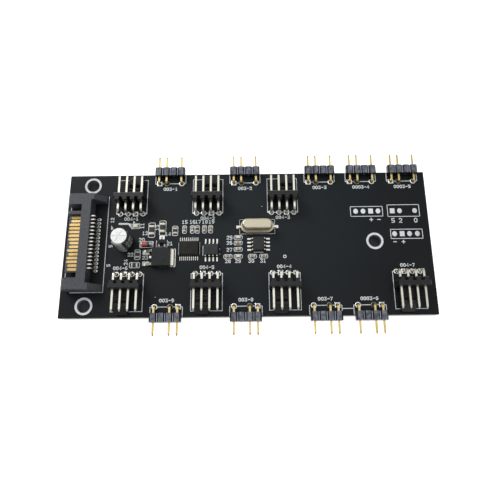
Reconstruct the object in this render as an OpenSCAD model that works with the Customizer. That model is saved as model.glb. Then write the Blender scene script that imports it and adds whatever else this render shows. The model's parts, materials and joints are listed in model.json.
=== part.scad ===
// Fan and lighting controller: one circuit board with a power plug at its left end, seven fan
// headers, nine light headers and the small parts that drive them. Millimetres, +Z up. The origin
// is the middle of the board in X and Y, at the level of the tips of the soldered tails.

/* [Board] */
// Length of the circuit board along X
board_l = 122; // [120:0.5:150]
// Width of the circuit board along Y
board_w = 49.4; // [48:0.2:60]
// Thickness of the circuit board
board_t = 1.6; // [1:0.2:2.4]
// How far the soldered tails reach below the board
tail_below = 1.4; // [0.8:0.1:2.5]

/* [Mounting holes] */
// Bore of the mounting holes
mount_d = 4.2; // [2.5:0.1:4.6]
// Distance of the two left mounting holes from the left edge
mount_left = 8; // [5:0.1:8.2]
// Distance of the right mounting hole from the right edge
mount_right = 18.6; // [16:0.1:20]
// Distance of the left mounting holes from the long edges
mount_edge = 3.8; // [3.4:0.1:4.2]

/* [Headers] */
// Pitch of the header pins
pitch = 2.54; // [2.5:0.02:2.6]
// Side of the square header pins
pin_w = 0.64; // [0.5:0.02:0.7]
// Play of a header pin's corners in its hole, across
pin_play = 0.1; // [0.04:0.02:0.2]
// Mean radius of the bend in the fan pins
fan_bend_r = 0.9; // [0.6:0.1:1.2]
// Mean radius of the bend in the light pins
light_bend_r = 0.6; // [0.4:0.05:0.8]

/* [Fan headers] */
// Distance of the fan pad rows from the long edges
fan_row_edge = 14.2; // [14:0.1:15]
// Height of the fan pins' middle above the board
fan_pin_z = 3.5; // [3:0.1:4]
// Reach of the fan pins from their pads
fan_reach = 12.7; // [11:0.1:13.5]
// Distance from the fan pads to the back of the wall
fan_wall_back = 2.95; // [2.6:0.05:3.2]
// Thickness of the wall that holds the fan pins
fan_wall_t = 2.7; // [2.2:0.1:3]
// Height of the wall that holds the fan pins
fan_wall_h = 5.9; // [5:0.1:6.5]
// Width of the friction tab under the pins
fan_tab_w = 4.7; // [4:0.1:5]
// Reach of the friction tab from the pads
fan_tab_reach = 13.4; // [12.6:0.1:13.6]

/* [Light headers] */
// Distance of the light pad rows from the long edges
light_row_edge = 3.3; // [3:0.1:3.8]
// Reach of the light pins from their pads
light_reach = 9.4; // [8:0.1:11]
// Distance from the light pads to the back of the plastic strip
light_body_back = 2.2; // [1.9:0.1:2.3]
// Depth of the plastic strip along the pins
light_body_d = 2.9; // [2.5:0.1:3.2]

/* [Power plug] */
// Length of the plug housing along Y
plug_l = 32.5; // [31.6:0.1:33.5]
// Height of the plug housing
plug_h = 5; // [4.6:0.1:5.6]
// Distance from the board's left edge to the plug's mating end
plug_front = 1.7; // [1:0.1:2.5]
// Depth of the mating side, from its end to the cross bar
plug_mouth = 4.7; // [4.4:0.1:5.2]
// Depth of the cross bar
plug_bar = 3; // [2.6:0.1:3.4]
// Length of the two arms behind the cross bar
plug_arm = 4.2; // [3.6:0.1:5]
// Length of each end ear along Y
plug_ear = 3.8; // [3.4:0.1:4.2]
// Pitch of the plug contacts
contact_pitch = 1.27; // [1.2:0.01:1.3]
// Width of a plug contact on the tongue
contact_w = 0.84; // [0.7:0.02:0.9]
// Height of the contact face above the board
contact_z = 2.6; // [2.4:0.1:2.8]

/* [Capacitor] */
// Diameter of the capacitor over its sleeve
cap_d = 6.3; // [5:0.1:6.3]
// Height of the capacitor above the board
cap_h = 8; // [6:0.1:11]

/* [Crystal] */
// Length of the crystal's flange
crystal_l = 11.1; // [10:0.1:11.4]
// Width of the crystal's flange
crystal_w = 4.65; // [4:0.05:4.8]
// Height of the crystal above the board
crystal_h = 4; // [3:0.1:4.4]

/* [Hidden] */
$fn = 48;

// Level of the board's top face
top_z = tail_below + board_t;
// How far a tail reaches below the board's top face
tail = board_t + tail_below;
// A cut runs this far past the face that it opens
cut = 1;
// Bore of the board's holes for the square header pins
pin_hole_d = pin_w * sqrt(2) + pin_play;

// Length of a header pin's point, and the width at its end as a share of the pin's
pin_point = 0.7;
pin_tip = 0.5;

// Finishes
board_black = "#24272A";
plug_grey = "#4B4E54";
header_black = "#1E1F21";
strip_grey = "#45484F";
tin = "#D9D6CC";
gold = "#D9B75B";
chip_black = "#2A2B2C";

// Fan headers: middle of each row in X, and the side of the board that it faces
fan_x = [-39.19, -13.39, 12.01, 12.01, -13.39, -39.19, 52.41];
fan_side = [1, 1, 1, -1, -1, -1, -1];
fan_row = board_w / 2 - fan_row_edge;
fan_pins = 4;
fan_l = fan_pins * pitch;
fan_chamfer = 0.25;

// Friction tab: it lies a little over half a pitch to the side, and its ramp rises to the free end
fan_tab_shift = 0.55 * pitch;
fan_tab_z = 0.25;
fan_tab_t = 1.25;
fan_ramp_h = 0.75;
fan_ramp_l = 1.1;
fan_ramp_top = 0.9;
fan_tab_nose = 0.4;
fan_tab_corner = 0.9;
fan_tab_plain = 2.1;
fan_rib = 1;
fan_groove = 0.35;
fan_notch_w = 1.15;
fan_notch_d = 1.2;

// Light headers: middle of each strip in X, and the side of the board that it overhangs
light_x = [-26.29, -0.69, 24.91, 39.11, 53.31, 39.11, 24.91, -0.69, -26.29];
light_side = [1, 1, 1, 1, 1, -1, -1, -1, -1];
light_row = board_w / 2 - light_row_edge;
light_places = 4;
light_empty = 2;
light_pin_z = pitch / 2;
light_groove = 0.5;

// Power plug
plug_x = plug_front - board_l / 2;
bar_x = plug_x + plug_mouth;
recess_x = bar_x + plug_bar;
arm_end_x = recess_x + plug_arm;
arm_t = 2.1;
arm_flat = 0.9;
arm_low = 1.9;
arm_nose = 0.4;
ear_chamfer = 0.6;
contacts = 15;
contact_mid = -0.35;
contact_t = 0.3;
contact_proud = 0.1;
tongue_t = 1.25;
tongue_margin = 0.95;
tongue_lead = 0.35;
key_w = 1;
key_h = 4.4;
key_inset = 0.25;
tip_long = 0.3;
tip_short = 0.8;
tip_l = 0.45;
tip_share = 0.45;
short_tips = [0, 1, 7, 8, 10, 13, 14];
rise_start = 0.7;
rise_end = 0.8;
tail_w = 0.42;
tail_exit_z = 4.1;
tail_run = 1.5;
tail_point = 0.5;
tail_r = 0.45;
tail_hole_d = 0.8;
tail_x = recess_x + tail_run;
tongue_top = contact_z - contact_proud;
tongue_y0 = contact_mid - (contacts - 1) / 2 * contact_pitch - tongue_margin;
tongue_y1 = contact_mid + (contacts - 1) / 2 * contact_pitch + tongue_margin - key_inset;
peg_d = 1.8;
peg_fit = 0.05;
peg_x = recess_x + 1.4;

// Capacitor
cap_x = -40.9;
cap_y = 0.3;
cap_sleeve_t = 0.25;
cap_lip = 0.3;
cap_bevel = 0.35;
cap_sleeve_foot = 0.3;
cap_curl_in = 0.25;
cap_curl_h = 0.12;
cap_bung_h = 0.8;
cap_lead_d = 0.5;
cap_lead_gap = 2.5;
cap_lead_short = 0.2;
cap_lead_hole_d = 0.8;
cap_vent_w = 0.22;
cap_vent_share = 1.5;
cap_vent_deep = 0.12;

// Crystal
crystal_x = 3.35;
crystal_y = 5.4;
crystal_base_t = 0.8;
crystal_rim = 0.5;
crystal_flange_t = 0.35;
crystal_round = 0.6;
crystal_lead_w = 0.6;
crystal_lead_t = 0.4;
crystal_lead_out = 0.95;
crystal_lead_gap = 4.88;

// Chips: place in X and Y, turn, body width across the leads, body length, height, leads a side,
// their pitch, their width and the span over both rows of feet
micro = [-19.45, -2.05, 0, 4.4, 6.5, 1.05, 10, 0.65, 0.25, 6.4];
driver = [-12, -2.55, 0, 3.9, 4.9, 1.55, 4, 1.27, 0.42, 6];
receiver = [3.7, -0.75, 90, 3.9, 4.9, 1.55, 4, 1.27, 0.42, 6];
chip_stand = 0.12;
chip_draft = 0.22;
small_draft = 0.12;
foot_t = 0.18;
foot_l = 0.6;
heel = 0.1;
lead_in = 0.5;
lead_neck = 0.15;
dimple_d = 0.7;
dimple_in = 0.9;
dimple_deep = 0.08;

// Regulator
reg_x = -28.5;
reg_y = -5.05;
reg_l = 6.1;
reg_w = 6.4;
reg_h = 2.3;
reg_tab_t = 0.5;
reg_tab_w = 5.3;
reg_tab_out = 1;
reg_tab_in = 4.6;
reg_lead_pitch = 2.29;
reg_lead_w = 0.75;
reg_lead_out = 2.6;
reg_stub_out = 0.7;
reg_lead_t = 0.4;
reg_stand = 0.02;
reg_mark_x = 1.4;
reg_mark_y = -1.6;
reg_mark_d = 1.1;

// Transistor: body, and one lead on the far side with two on the near side
tr_x = -28.55;
tr_y = 0.5;
tr_l = 2.9;
tr_w = 1.3;
tr_h = 1;
tr_span = 2.4;
tr_lead_w = 0.4;
tr_lead_gap = 1.9;

// Diode: a glass tube between two metal end caps
diode_x = -33.65;
diode_y = -0.35;
diode_l = 3.5;
diode_d = 1.5;
diode_cap_l = 0.45;
diode_glass_d = 1.4;
diode_round = 0.15;

// Status light
lamp_x = -37.6;
lamp_y = 6.1;
lamp_l = 2;
lamp_w = 1.25;
lamp_base_h = 0.35;
lamp_h = 0.8;
lamp_lens_l = 1.3;
lamp_notch_d = 0.5;
lamp_draft = 0.09;

// Chip parts: place, turn, then the size code's length, width and height
size_1206 = [3.2, 1.6, 0.6];
size_1206_high = [3.2, 1.6, 0.95];
size_0805 = [2, 1.25, 0.5];
size_0603 = [1.6, 0.8, 0.45];
size_0603_high = [1.6, 0.8, 0.8];
cap_share = 0.22;
cap_skin = 0.04;
row_y = 4.75;
column_x = -3.1;
resistors = [
    [-32.1, 4.65, 90, size_1206], [-28.45, 5.35, 90, size_1206_high], [-24.25, 4.3, 90, size_0805],
    [-36.5, -3.85, 90, size_0805], [-37.3, -7.4, 0, size_0805], [-16.8, row_y, 90, size_0603]
];
capacitors = [
    for (x = [-21.1, -18.45, -14.4, -12.35]) [x, row_y, 90, size_0603_high],
    for (y = [-0.2, -2.4]) [column_x, y, 0, size_0603_high],
    for (x = [-6.5, 1.6, 5.3]) [x, -4.85, 0, size_0603_high]
];
inductors = [for (y = [1.7, -4.85]) [column_x, y, 0, size_0603_high]];

// Corner points of a thin strip of thickness t along a path, mitred at each bend
function heading(a, b) = (b - a) / norm(b - a);
function side_step(d, t) = [-d[1], d[0]] * t / 2;
function mitre(p, i, t) =
    let(
        n = len(p) - 1,
        before = heading(p[max(i - 1, 0)], p[max(i, 1)]),
        after = heading(p[min(i, n - 1)], p[min(i + 1, n)]),
        mean = heading([0, 0], before + after)
    )
    side_step(mean, t) / (mean * after);
function strip(p, t) = concat(
    [for (i = [0 : len(p) - 1]) p[i] + mitre(p, i, t)],
    [for (i = [len(p) - 1 : -1 : 0]) p[i] - mitre(p, i, t)]
);
// Points on an arc about c, from angle a to angle b
function polar(a) = [cos(a), sin(a)];
function arc(c, r, a, b, n = 6) = [for (i = [0 : n]) c + r * polar(a + (b - a) * i / n)];

// Stands its children on the board's top face
module on_board(x = 0, y = 0, turn = 0) {
    translate([x, y, top_z]) rotate(turn) children();
}

// A header's own frame: pads along X at Y = 0, pins pointing to +Y
module header_place(x, side, row) {
    on_board(x, side * row, side > 0 ? 0 : 180) children();
}

// Extrudes an outline drawn in Y and Z along X, centred on X = 0
module along_x(w) {
    rotate([90, 0, 90]) linear_extrude(w, center = true) children();
}

// Extrudes an outline drawn in X and Z along Y, from Y = y0 to Y = y1
module along_y(y0, y1) {
    translate([0, y1, 0]) rotate([90, 0, 0]) linear_extrude(y1 - y0) children();
}

// Straight square pin along +Y from y0 to y1, with a four-sided point at the far end
module pin_leg(y0, y1, w, point = pin_point, tip = pin_tip) {
    outline = [
        [y0, -w / 2], [y1 - point, -w / 2], [y1, -w / 2 * tip],
        [y1, w / 2 * tip], [y1 - point, w / 2], [y0, w / 2]
    ];
    intersection() {
        along_x(w) polygon(outline);
        translate([0, 0, -w / 2]) linear_extrude(w) mirror([1, -1]) polygon(outline);
    }
}

// Right-angle pin: a tail down through the board, a true bend and a leg to +Y
module bent_pin(height, reach, r, w = pin_w) {
    translate([0, r, height - r]) rotate([90, 0, -90])
        rotate_extrude(angle = 90) translate([r, 0]) square(w, center = true);
    translate([0, 0, height]) pin_leg(r, reach, w);
    rotate([-90, 0, 0]) pin_leg(r - height, tail, w);
}

function place_x(i, n, p) = (i - (n - 1) / 2) * p;

// Board

module mounting_holes() {
    bore_x = mount_left - board_l / 2;
    bore_y = board_w / 2 - mount_edge;
    for (p = [[bore_x, bore_y], [bore_x, -bore_y], [board_l / 2 - mount_right, 0]])
        translate([p[0], p[1], tail_below - cut]) cylinder(d = mount_d, h = board_t + 2 * cut);
}

module drill(d) {
    translate([0, 0, -board_t - cut]) cylinder(d = d, h = board_t + 2 * cut, $fn = 24);
}

module plug_pegs(d) {
    for (s = [-1, 1])
        on_board(peg_x, s * (plug_l / 2 - arm_t / 2))
            translate([0, 0, -board_t]) cylinder(d = d, h = board_t, $fn = 32);
}

module header_holes() {
    for (i = [0 : len(fan_x) - 1])
        header_place(fan_x[i], fan_side[i], fan_row)
            for (k = [0 : fan_pins - 1]) translate([place_x(k, fan_pins, pitch), 0, 0]) drill(pin_hole_d);
    for (i = [0 : len(light_x) - 1])
        header_place(light_x[i], light_side[i], light_row)
            for (k = [0 : light_places - 1]) if (k != light_empty)
                translate([place_x(k, light_places, pitch), 0, 0]) drill(pin_hole_d);
}

module circuit_board() {
    color(board_black) difference() {
        translate([-board_l / 2, -board_w / 2, tail_below]) cube([board_l, board_w, board_t]);
        mounting_holes();
        header_holes();
        for (i = [0 : contacts - 1])
            on_board(tail_x, contact_mid + place_x(i, contacts, contact_pitch)) drill(tail_hole_d);
        for (s = [-1, 1]) on_board(cap_x + s * cap_lead_gap / 2, cap_y) drill(cap_lead_hole_d);
        plug_pegs(peg_d + 2 * peg_fit);
    }
}

// Power plug

// Side outline of a contact in X and Z: along the tongue, up inside the bar, out and down
function contact_path(tip) = concat(
    [
        [plug_x + tip, contact_z - contact_t / 2],
        [bar_x + rise_start, contact_z - contact_t / 2],
        [recess_x - rise_end, tail_exit_z]
    ],
    arc([tail_x - tail_r, tail_exit_z - tail_r], tail_r, 90, 0),
    [[tail_x, tail_point - tail]]
);

module plug_contact(i) {
    neck_x = bar_x + plug_bar / 2;
    tip = len(search(i, short_tips)) > 0 ? tip_short : tip_long;
    half = contact_w / 2;
    path = contact_path(tip);
    on_board(0, contact_mid - place_x(i, contacts, contact_pitch)) {
        intersection() {
            along_y(-half, half) polygon(strip(path, contact_t));
            union() {
                linear_extrude(2 * plug_h, center = true) polygon([
                    [plug_x + tip, -half * tip_share], [plug_x + tip + tip_l, -half], [neck_x, -half],
                    [neck_x, half], [plug_x + tip + tip_l, half], [plug_x + tip, half * tip_share]
                ]);
                translate([neck_x, -tail_w / 2, -tail]) cube([tail_x + cut - neck_x, tail_w, tail + plug_h]);
            }
        }
        translate([tail_x, 0, tail_point - tail]) rotate([-90, 0, 0])
            pin_leg(0, tail_point, contact_t, tail_point, pin_tip);
    }
}

module power_plug_contacts() {
    color(gold) for (i = [0 : contacts - 1]) plug_contact(i);
}

// Seen from the side: flat on top, then falling towards the free end of the arm
module plug_arm_outline() {
    polygon([
        [recess_x - cut, 0], [arm_end_x, 0],
        [arm_end_x, arm_low - arm_nose], [arm_end_x - arm_nose, arm_low],
        [recess_x + arm_flat, plug_h], [recess_x - cut, plug_h]
    ]);
}

module plug_ear_outline() {
    polygon([
        [plug_x, 0], [plug_x, plug_h - ear_chamfer], [plug_x + ear_chamfer, plug_h],
        [recess_x, plug_h], [recess_x, 0]
    ]);
}

// End ear with its arm, drawn at the far end
module plug_end() {
    y1 = plug_l / 2;
    along_y(y1 - plug_ear, y1) plug_ear_outline();
    along_y(y1 - arm_t, y1) plug_arm_outline();
}

module plug_tongue() {
    z0 = tongue_top - tongue_t;
    along_y(tongue_y0, tongue_y1 + key_w) polygon([
        [bar_x + cut, z0], [plug_x + tongue_lead, z0], [plug_x, z0 + tongue_lead],
        [plug_x, tongue_top - tongue_lead], [plug_x + tongue_lead, tongue_top], [bar_x + cut, tongue_top]
    ]);
    along_y(tongue_y1, tongue_y1 + key_w) polygon([
        [bar_x + cut, z0], [plug_x + tongue_lead, z0], [plug_x, z0 + tongue_lead],
        [plug_x, key_h - tongue_lead], [plug_x + tongue_lead, key_h], [bar_x + cut, key_h]
    ]);
}

module power_plug_housing() {
    color(plug_grey) difference() {
        union() {
            on_board() {
                for (s = [0, 1]) mirror([0, s, 0]) plug_end();
                translate([bar_x, -plug_l / 2, 0]) cube([plug_bar, plug_l, plug_h]);
                plug_tongue();
            }
            plug_pegs(peg_d);
        }
        for (i = [0 : contacts - 1]) plug_contact(i);
    }
}

// Fan headers

module fan_tab_plan() {
    y0 = fan_wall_back + fan_wall_t - cut;
    r = fan_tab_corner;
    translate([-fan_tab_w / 2, y0]) square([fan_tab_w, fan_tab_reach - r - y0]);
    translate([-fan_tab_w / 2 + r, y0]) square([fan_tab_w - 2 * r, fan_tab_reach - y0]);
    for (s = [-1, 1]) translate([s * (fan_tab_w / 2 - r), fan_tab_reach - r]) circle(r);
}

// Side of the tab: two cross grooves, then the ramp that grips the plug, then its lead-in
module fan_tab_side() {
    z1 = fan_tab_z + fan_tab_t;
    z2 = z1 + fan_ramp_h;
    y0 = fan_wall_back + fan_wall_t - cut;
    y1 = y0 + cut + fan_tab_plain;
    y2 = y1 + fan_rib;
    polygon([
        [y0, fan_tab_z], [fan_tab_reach, fan_tab_z], [fan_tab_reach, z1 - fan_tab_nose],
        [y2 + fan_ramp_l + fan_ramp_top, z2], [y2 + fan_ramp_l, z2], [y2 + fan_groove, z1],
        [y2 + fan_groove, z1 - fan_groove], [y2, z1 - fan_groove], [y2, z1],
        [y1 + fan_groove, z1], [y1 + fan_groove, z1 - fan_groove], [y1, z1 - fan_groove], [y1, z1],
        [y0, z1]
    ]);
}

module fan_wall() {
    y0 = fan_wall_back;
    y1 = y0 + fan_wall_t;
    c = fan_chamfer;
    difference() {
        intersection() {
            along_x(fan_l) polygon([[y0, 0], [y1, 0], [y1, fan_wall_h - c], [y1 - c, fan_wall_h],
                [y0 + c, fan_wall_h], [y0, fan_wall_h - c]]);
            along_y(y0, y1) polygon([[-fan_l / 2, 0], [fan_l / 2, 0], [fan_l / 2, fan_wall_h - c],
                [fan_l / 2 - c, fan_wall_h], [c - fan_l / 2, fan_wall_h], [-fan_l / 2, fan_wall_h - c]]);
        }
        for (i = [0 : fan_pins])
            translate([place_x(i, fan_pins + 1, pitch) - fan_notch_w / 2, y0 - cut, -cut])
                cube([fan_notch_w, fan_notch_d + cut, fan_wall_h + 2 * cut]);
    }
}

module fan_pin_row() {
    for (i = [0 : fan_pins - 1])
        translate([place_x(i, fan_pins, pitch), 0, 0]) bent_pin(fan_pin_z, fan_reach, fan_bend_r);
}

module fan_housing(i) {
    color(header_black) header_place(fan_x[i], fan_side[i], fan_row) difference() {
        union() {
            fan_wall();
            translate([fan_tab_shift, 0, 0]) intersection() {
                along_x(fan_tab_w) fan_tab_side();
                linear_extrude(fan_wall_h) fan_tab_plan();
            }
        }
        fan_pin_row();
    }
}

module fan_pin_set(i) {
    color(tin) header_place(fan_x[i], fan_side[i], fan_row) fan_pin_row();
}

// Light headers

// One moulded position seen along its pin: a square with its corners cut, which leaves a groove
// where two positions meet
module light_cell() {
    g = light_groove;
    h = pitch / 2;
    polygon([
        [-h, g], [g - h, 0], [h - g, 0], [h, g],
        [h, pitch - g], [h - g, pitch], [g - h, pitch], [-h, pitch - g]
    ]);
}

module light_pin_row() {
    for (i = [0 : light_places - 1]) if (i != light_empty)
        translate([place_x(i, light_places, pitch), 0, 0]) bent_pin(light_pin_z, light_reach, light_bend_r);
}

module light_housing(i) {
    y0 = light_body_back;
    y1 = y0 + light_body_d;
    color(strip_grey) header_place(light_x[i], light_side[i], light_row) difference() {
        along_y(y0, y1) for (k = [0 : light_places - 1])
            translate([place_x(k, light_places, pitch), 0]) light_cell();
        light_pin_row();
        translate([place_x(light_empty, light_places, pitch) - pin_w / 2, y0 - cut, light_pin_z - pin_w / 2])
            cube([pin_w, light_body_d + 2 * cut, pin_w]);
    }
}

module light_pin_set(i) {
    color(gold) header_place(light_x[i], light_side[i], light_row) light_pin_row();
}

// Capacitor

cap_r = cap_d / 2;
can_r = cap_r - cap_sleeve_t;

module capacitor_can() {
    color("#D5D6D4") on_board(cap_x, cap_y) difference() {
        rotate_extrude() polygon([
            [0, cap_bung_h], [can_r, cap_bung_h], [can_r, cap_h - cap_bevel],
            [can_r - cap_bevel, cap_h], [0, cap_h]
        ]);
        for (a = [0, 60, 120]) rotate(a) translate([0, 0, cap_h])
            cube([cap_vent_share * can_r, cap_vent_w, 2 * cap_vent_deep], center = true);
    }
}

// Shrunk over the can: it curls in over the shoulder at the top and under the can at the bottom
module capacitor_sleeve() {
    color("#1D1E20") on_board(cap_x, cap_y) rotate_extrude() polygon([
        [can_r - cap_lip, cap_sleeve_foot], [cap_r, cap_sleeve_foot], [cap_r, cap_h - cap_bevel],
        [can_r - cap_bevel + cap_curl_in, cap_h + cap_curl_h], [can_r - cap_bevel, cap_h],
        [can_r, cap_h - cap_bevel],
        [can_r, cap_bung_h], [can_r - cap_lip, cap_bung_h]
    ]);
}

module capacitor_bung() {
    color("#2B2B2B") on_board(cap_x, cap_y) difference() {
        cylinder(r = can_r - cap_lip, h = cap_bung_h);
        for (s = [-1, 1]) translate([s * cap_lead_gap / 2, 0, -cut])
            cylinder(d = cap_lead_d, h = cap_bung_h + 2 * cut, $fn = 24);
    }
}

module capacitor_leads() {
    reach = tail - cap_lead_short;
    color(tin) on_board(cap_x, cap_y) for (s = [-1, 1])
        translate([s * cap_lead_gap / 2, 0, -reach])
            cylinder(d = cap_lead_d, h = reach + cap_bung_h, $fn = 24);
}

// Crystal

// Stadium-shaped block with a profile drawn from the outside inwards
module stadium(l, w) {
    flat = l - w;
    for (s = [0, 1]) rotate(s * 180) translate([flat / 2, 0, 0]) rotate([0, 0, -90])
        rotate_extrude(angle = 180) children();
    rotate([90, 0, 90]) linear_extrude(flat, center = true) {
        children();
        mirror([1, 0]) children();
    }
}

module crystal_can() {
    w = crystal_w - 2 * crystal_rim;
    r = crystal_round;
    z0 = crystal_base_t;
    z1 = z0 + crystal_flange_t;
    color("#D8D2BE") on_board(crystal_x, crystal_y) stadium(crystal_l - 2 * crystal_rim, w) polygon(concat(
        [[0, z0], [crystal_w / 2, z0], [crystal_w / 2, z1], [w / 2, z1]],
        arc([w / 2 - r, crystal_h - r], r, 0, 90),
        [[0, crystal_h]]
    ));
}

module crystal_leads() {
    t = crystal_lead_t;
    out = (crystal_l - crystal_lead_gap) / 2 + crystal_lead_out;
    color(tin) on_board(crystal_x, crystal_y) for (s = [0, 1]) rotate(s * 180)
        translate([crystal_lead_gap / 2, 0, 0]) along_y(-crystal_lead_w / 2, crystal_lead_w / 2)
            polygon(strip([[0, crystal_base_t], [0, t / 2], [out, t / 2]], t));
}

module crystal_base() {
    color("#2A2B2E") on_board(crystal_x, crystal_y) difference() {
        linear_extrude(crystal_base_t) {
            square([crystal_l - crystal_w, crystal_w], center = true);
            for (s = [-1, 1]) translate([s * (crystal_l - crystal_w) / 2, 0]) circle(d = crystal_w);
        }
        for (s = [0, 1]) rotate(s * 180)
            translate([(crystal_lead_gap - crystal_lead_t) / 2, -crystal_lead_w / 2, -cut])
                cube([crystal_l, crystal_lead_w, cut + crystal_lead_t]);
        for (s = [0, 1]) rotate(s * 180)
            translate([(crystal_lead_gap - crystal_lead_t) / 2, -crystal_lead_w / 2, 0])
                cube([crystal_lead_t, crystal_lead_w, crystal_base_t + cut]);
    }
}

// Chips

// Moulded block with drafted sides above and below the parting line
module moulded_block(l, w, z0, z1, draft = chip_draft) {
    mid = (z0 + z1) / 2;
    function side(s) = [
        [-s / 2 + draft, z0], [s / 2 - draft, z0], [s / 2, mid],
        [s / 2 - draft, z1], [-s / 2 + draft, z1], [-s / 2, mid]
    ];
    intersection() {
        along_x(l) polygon(side(w));
        along_y(-w / 2, w / 2) polygon(side(l));
    }
}

// Gull-wing lead from inside the body to its foot on the board, pointing to +Y
module gull_lead(body_half, reach, mid, w, t = foot_t) {
    along_x(w) polygon(strip([
        [body_half - lead_in, mid], [body_half + lead_neck, mid],
        [reach - foot_l + heel, t / 2], [reach, t / 2]
    ], t));
}

module chip_leads(c) {
    w = c[3];
    h = c[5];
    count = c[6];
    p = c[7];
    lead_w = c[8];
    span = c[9];
    on_board(c[0], c[1], c[2]) for (s = [0, 1]) rotate(s * 180) for (i = [0 : count - 1])
        translate([place_x(i, count, p), 0, 0])
            gull_lead(w / 2, span / 2, (chip_stand + h) / 2, lead_w);
}

module chip_body(c) {
    w = c[3];
    l = c[4];
    h = c[5];
    difference() {
        on_board(c[0], c[1], c[2]) difference() {
            moulded_block(l, w, chip_stand, h);
            translate([dimple_in - l / 2, dimple_in - w / 2, h - dimple_deep])
                cylinder(d = dimple_d, h = cut, $fn = 24);
        }
        chip_leads(c);
    }
}

module microcontroller_body() {
    color(chip_black) chip_body(micro);
}

module microcontroller_leads() {
    color(tin) chip_leads(micro);
}

module driver_chip_body() {
    color(chip_black) chip_body(driver);
}

module driver_chip_leads() {
    color(tin) chip_leads(driver);
}

module receiver_chip_body() {
    color(chip_black) chip_body(receiver);
}

module receiver_chip_leads() {
    color(tin) chip_leads(receiver);
}

// Regulator: the metal tab carries the body and shows at the right, the leads leave at the left
module regulator_lead_frame() {
    w = reg_tab_w;
    color(tin) on_board(reg_x, reg_y) {
        translate([reg_l / 2 - reg_tab_in, -w / 2, 0]) cube([reg_tab_in + reg_tab_out, w, reg_tab_t]);
        for (s = [-1, 1]) translate([0, s * reg_lead_pitch, 0]) rotate(90)
            gull_lead(reg_l / 2, reg_l / 2 + reg_lead_out, reg_h / 2, reg_lead_w, reg_lead_t);
        translate([-reg_l / 2 - reg_stub_out, -reg_lead_w / 2, (reg_h - reg_lead_t) / 2])
            cube([reg_stub_out + lead_in, reg_lead_w, reg_lead_t]);
    }
}

module regulator_body() {
    color(chip_black) difference() {
        on_board(reg_x, reg_y) difference() {
            moulded_block(reg_l, reg_w, reg_stand, reg_h, small_draft);
            translate([reg_mark_x, reg_mark_y, reg_h - dimple_deep])
                cylinder(d = reg_mark_d, h = cut, $fn = 32);
        }
        regulator_lead_frame();
    }
}

module transistor_leads() {
    mid = (chip_stand + tr_h) / 2;
    color(tin) on_board(tr_x, tr_y) {
        gull_lead(tr_w / 2, tr_span / 2, mid, tr_lead_w);
        for (s = [-1, 1]) rotate(180) translate([s * tr_lead_gap / 2, 0, 0])
            gull_lead(tr_w / 2, tr_span / 2, mid, tr_lead_w);
    }
}

module transistor_body() {
    color(chip_black) difference() {
        on_board(tr_x, tr_y) moulded_block(tr_l, tr_w, chip_stand, tr_h, small_draft);
        transistor_leads();
    }
}

module diode_glass() {
    color("#B5322B") on_board(diode_x, diode_y) translate([0, 0, diode_d / 2]) rotate([0, 90, 0])
        cylinder(d = diode_glass_d, h = diode_l - 2 * diode_cap_l, center = true);
}

module diode_end_caps() {
    color(tin) on_board(diode_x, diode_y) for (s = [0, 1]) rotate(s * 180)
        translate([diode_l / 2 - diode_cap_l, 0, diode_d / 2]) rotate([0, 90, 0]) rotate_extrude() polygon([
            [0, 0], [diode_d / 2, 0], [diode_d / 2, diode_cap_l - diode_round],
            [diode_d / 2 - diode_round, diode_cap_l], [0, diode_cap_l]
        ]);
}

module status_light_base() {
    color("#E6E4D8") on_board(lamp_x, lamp_y) difference() {
        translate([0, 0, lamp_base_h / 2]) cube([lamp_l, lamp_w, lamp_base_h], center = true);
        for (s = [-1, 1]) translate([s * lamp_l / 2, 0, -cut])
            cylinder(d = lamp_notch_d, h = lamp_base_h + 2 * cut, $fn = 24);
    }
}

module status_light_lens() {
    h = lamp_h - lamp_base_h;
    function side(s) = [[-s / 2, 0], [s / 2, 0], [s / 2 - lamp_draft, h], [lamp_draft - s / 2, h]];
    color("#DCE6C8") on_board(lamp_x, lamp_y) translate([0, 0, lamp_base_h]) intersection() {
        along_x(lamp_lens_l) polygon(side(lamp_w));
        along_y(-lamp_w / 2, lamp_w / 2) polygon(side(lamp_lens_l));
    }
}

// Chip parts

// Block inside the end caps
module chip_core(s) {
    translate([0, 0, s[2] / 2]) cube([s[0], s[1], s[2]] - [2, 2, 2] * cap_skin, center = true);
}

// End caps wrapped round both ends of the block
module chip_caps(s) {
    cap_l = cap_share * s[0];
    difference() {
        for (k = [-1, 1])
            translate([k * (s[0] - cap_l) / 2, 0, s[2] / 2]) cube([cap_l, s[1], s[2]], center = true);
        chip_core(s);
    }
}

module chip_cores(list) {
    for (c = list) on_board(c[0], c[1], c[2]) chip_core(c[3]);
}

module chip_resistor_bodies() {
    color("#2C2C2E") chip_cores(resistors);
}

module chip_capacitor_bodies() {
    color("#A58A6E") chip_cores(capacitors);
}

module chip_inductor_bodies() {
    color("#E4E1DA") chip_cores(inductors);
}

module chip_end_caps() {
    color(tin) for (c = concat(resistors, capacitors, inductors)) on_board(c[0], c[1], c[2]) chip_caps(c[3]);
}

circuit_board();
power_plug_housing();
power_plug_contacts();
for (i = [0 : len(fan_x) - 1])
    fan_housing(i);
for (i = [0 : len(fan_x) - 1])
    fan_pin_set(i);
for (i = [0 : len(light_x) - 1])
    light_housing(i);
for (i = [0 : len(light_x) - 1])
    light_pin_set(i);
capacitor_can();
capacitor_sleeve();
capacitor_bung();
capacitor_leads();
crystal_can();
crystal_base();
crystal_leads();
microcontroller_body();
microcontroller_leads();
driver_chip_body();
driver_chip_leads();
receiver_chip_body();
receiver_chip_leads();
regulator_body();
regulator_lead_frame();
transistor_body();
transistor_leads();
diode_glass();
diode_end_caps();
status_light_base();
status_light_lens();
chip_resistor_bodies();
chip_capacitor_bodies();
chip_inductor_bodies();
chip_end_caps();
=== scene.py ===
import json
import math

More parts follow.
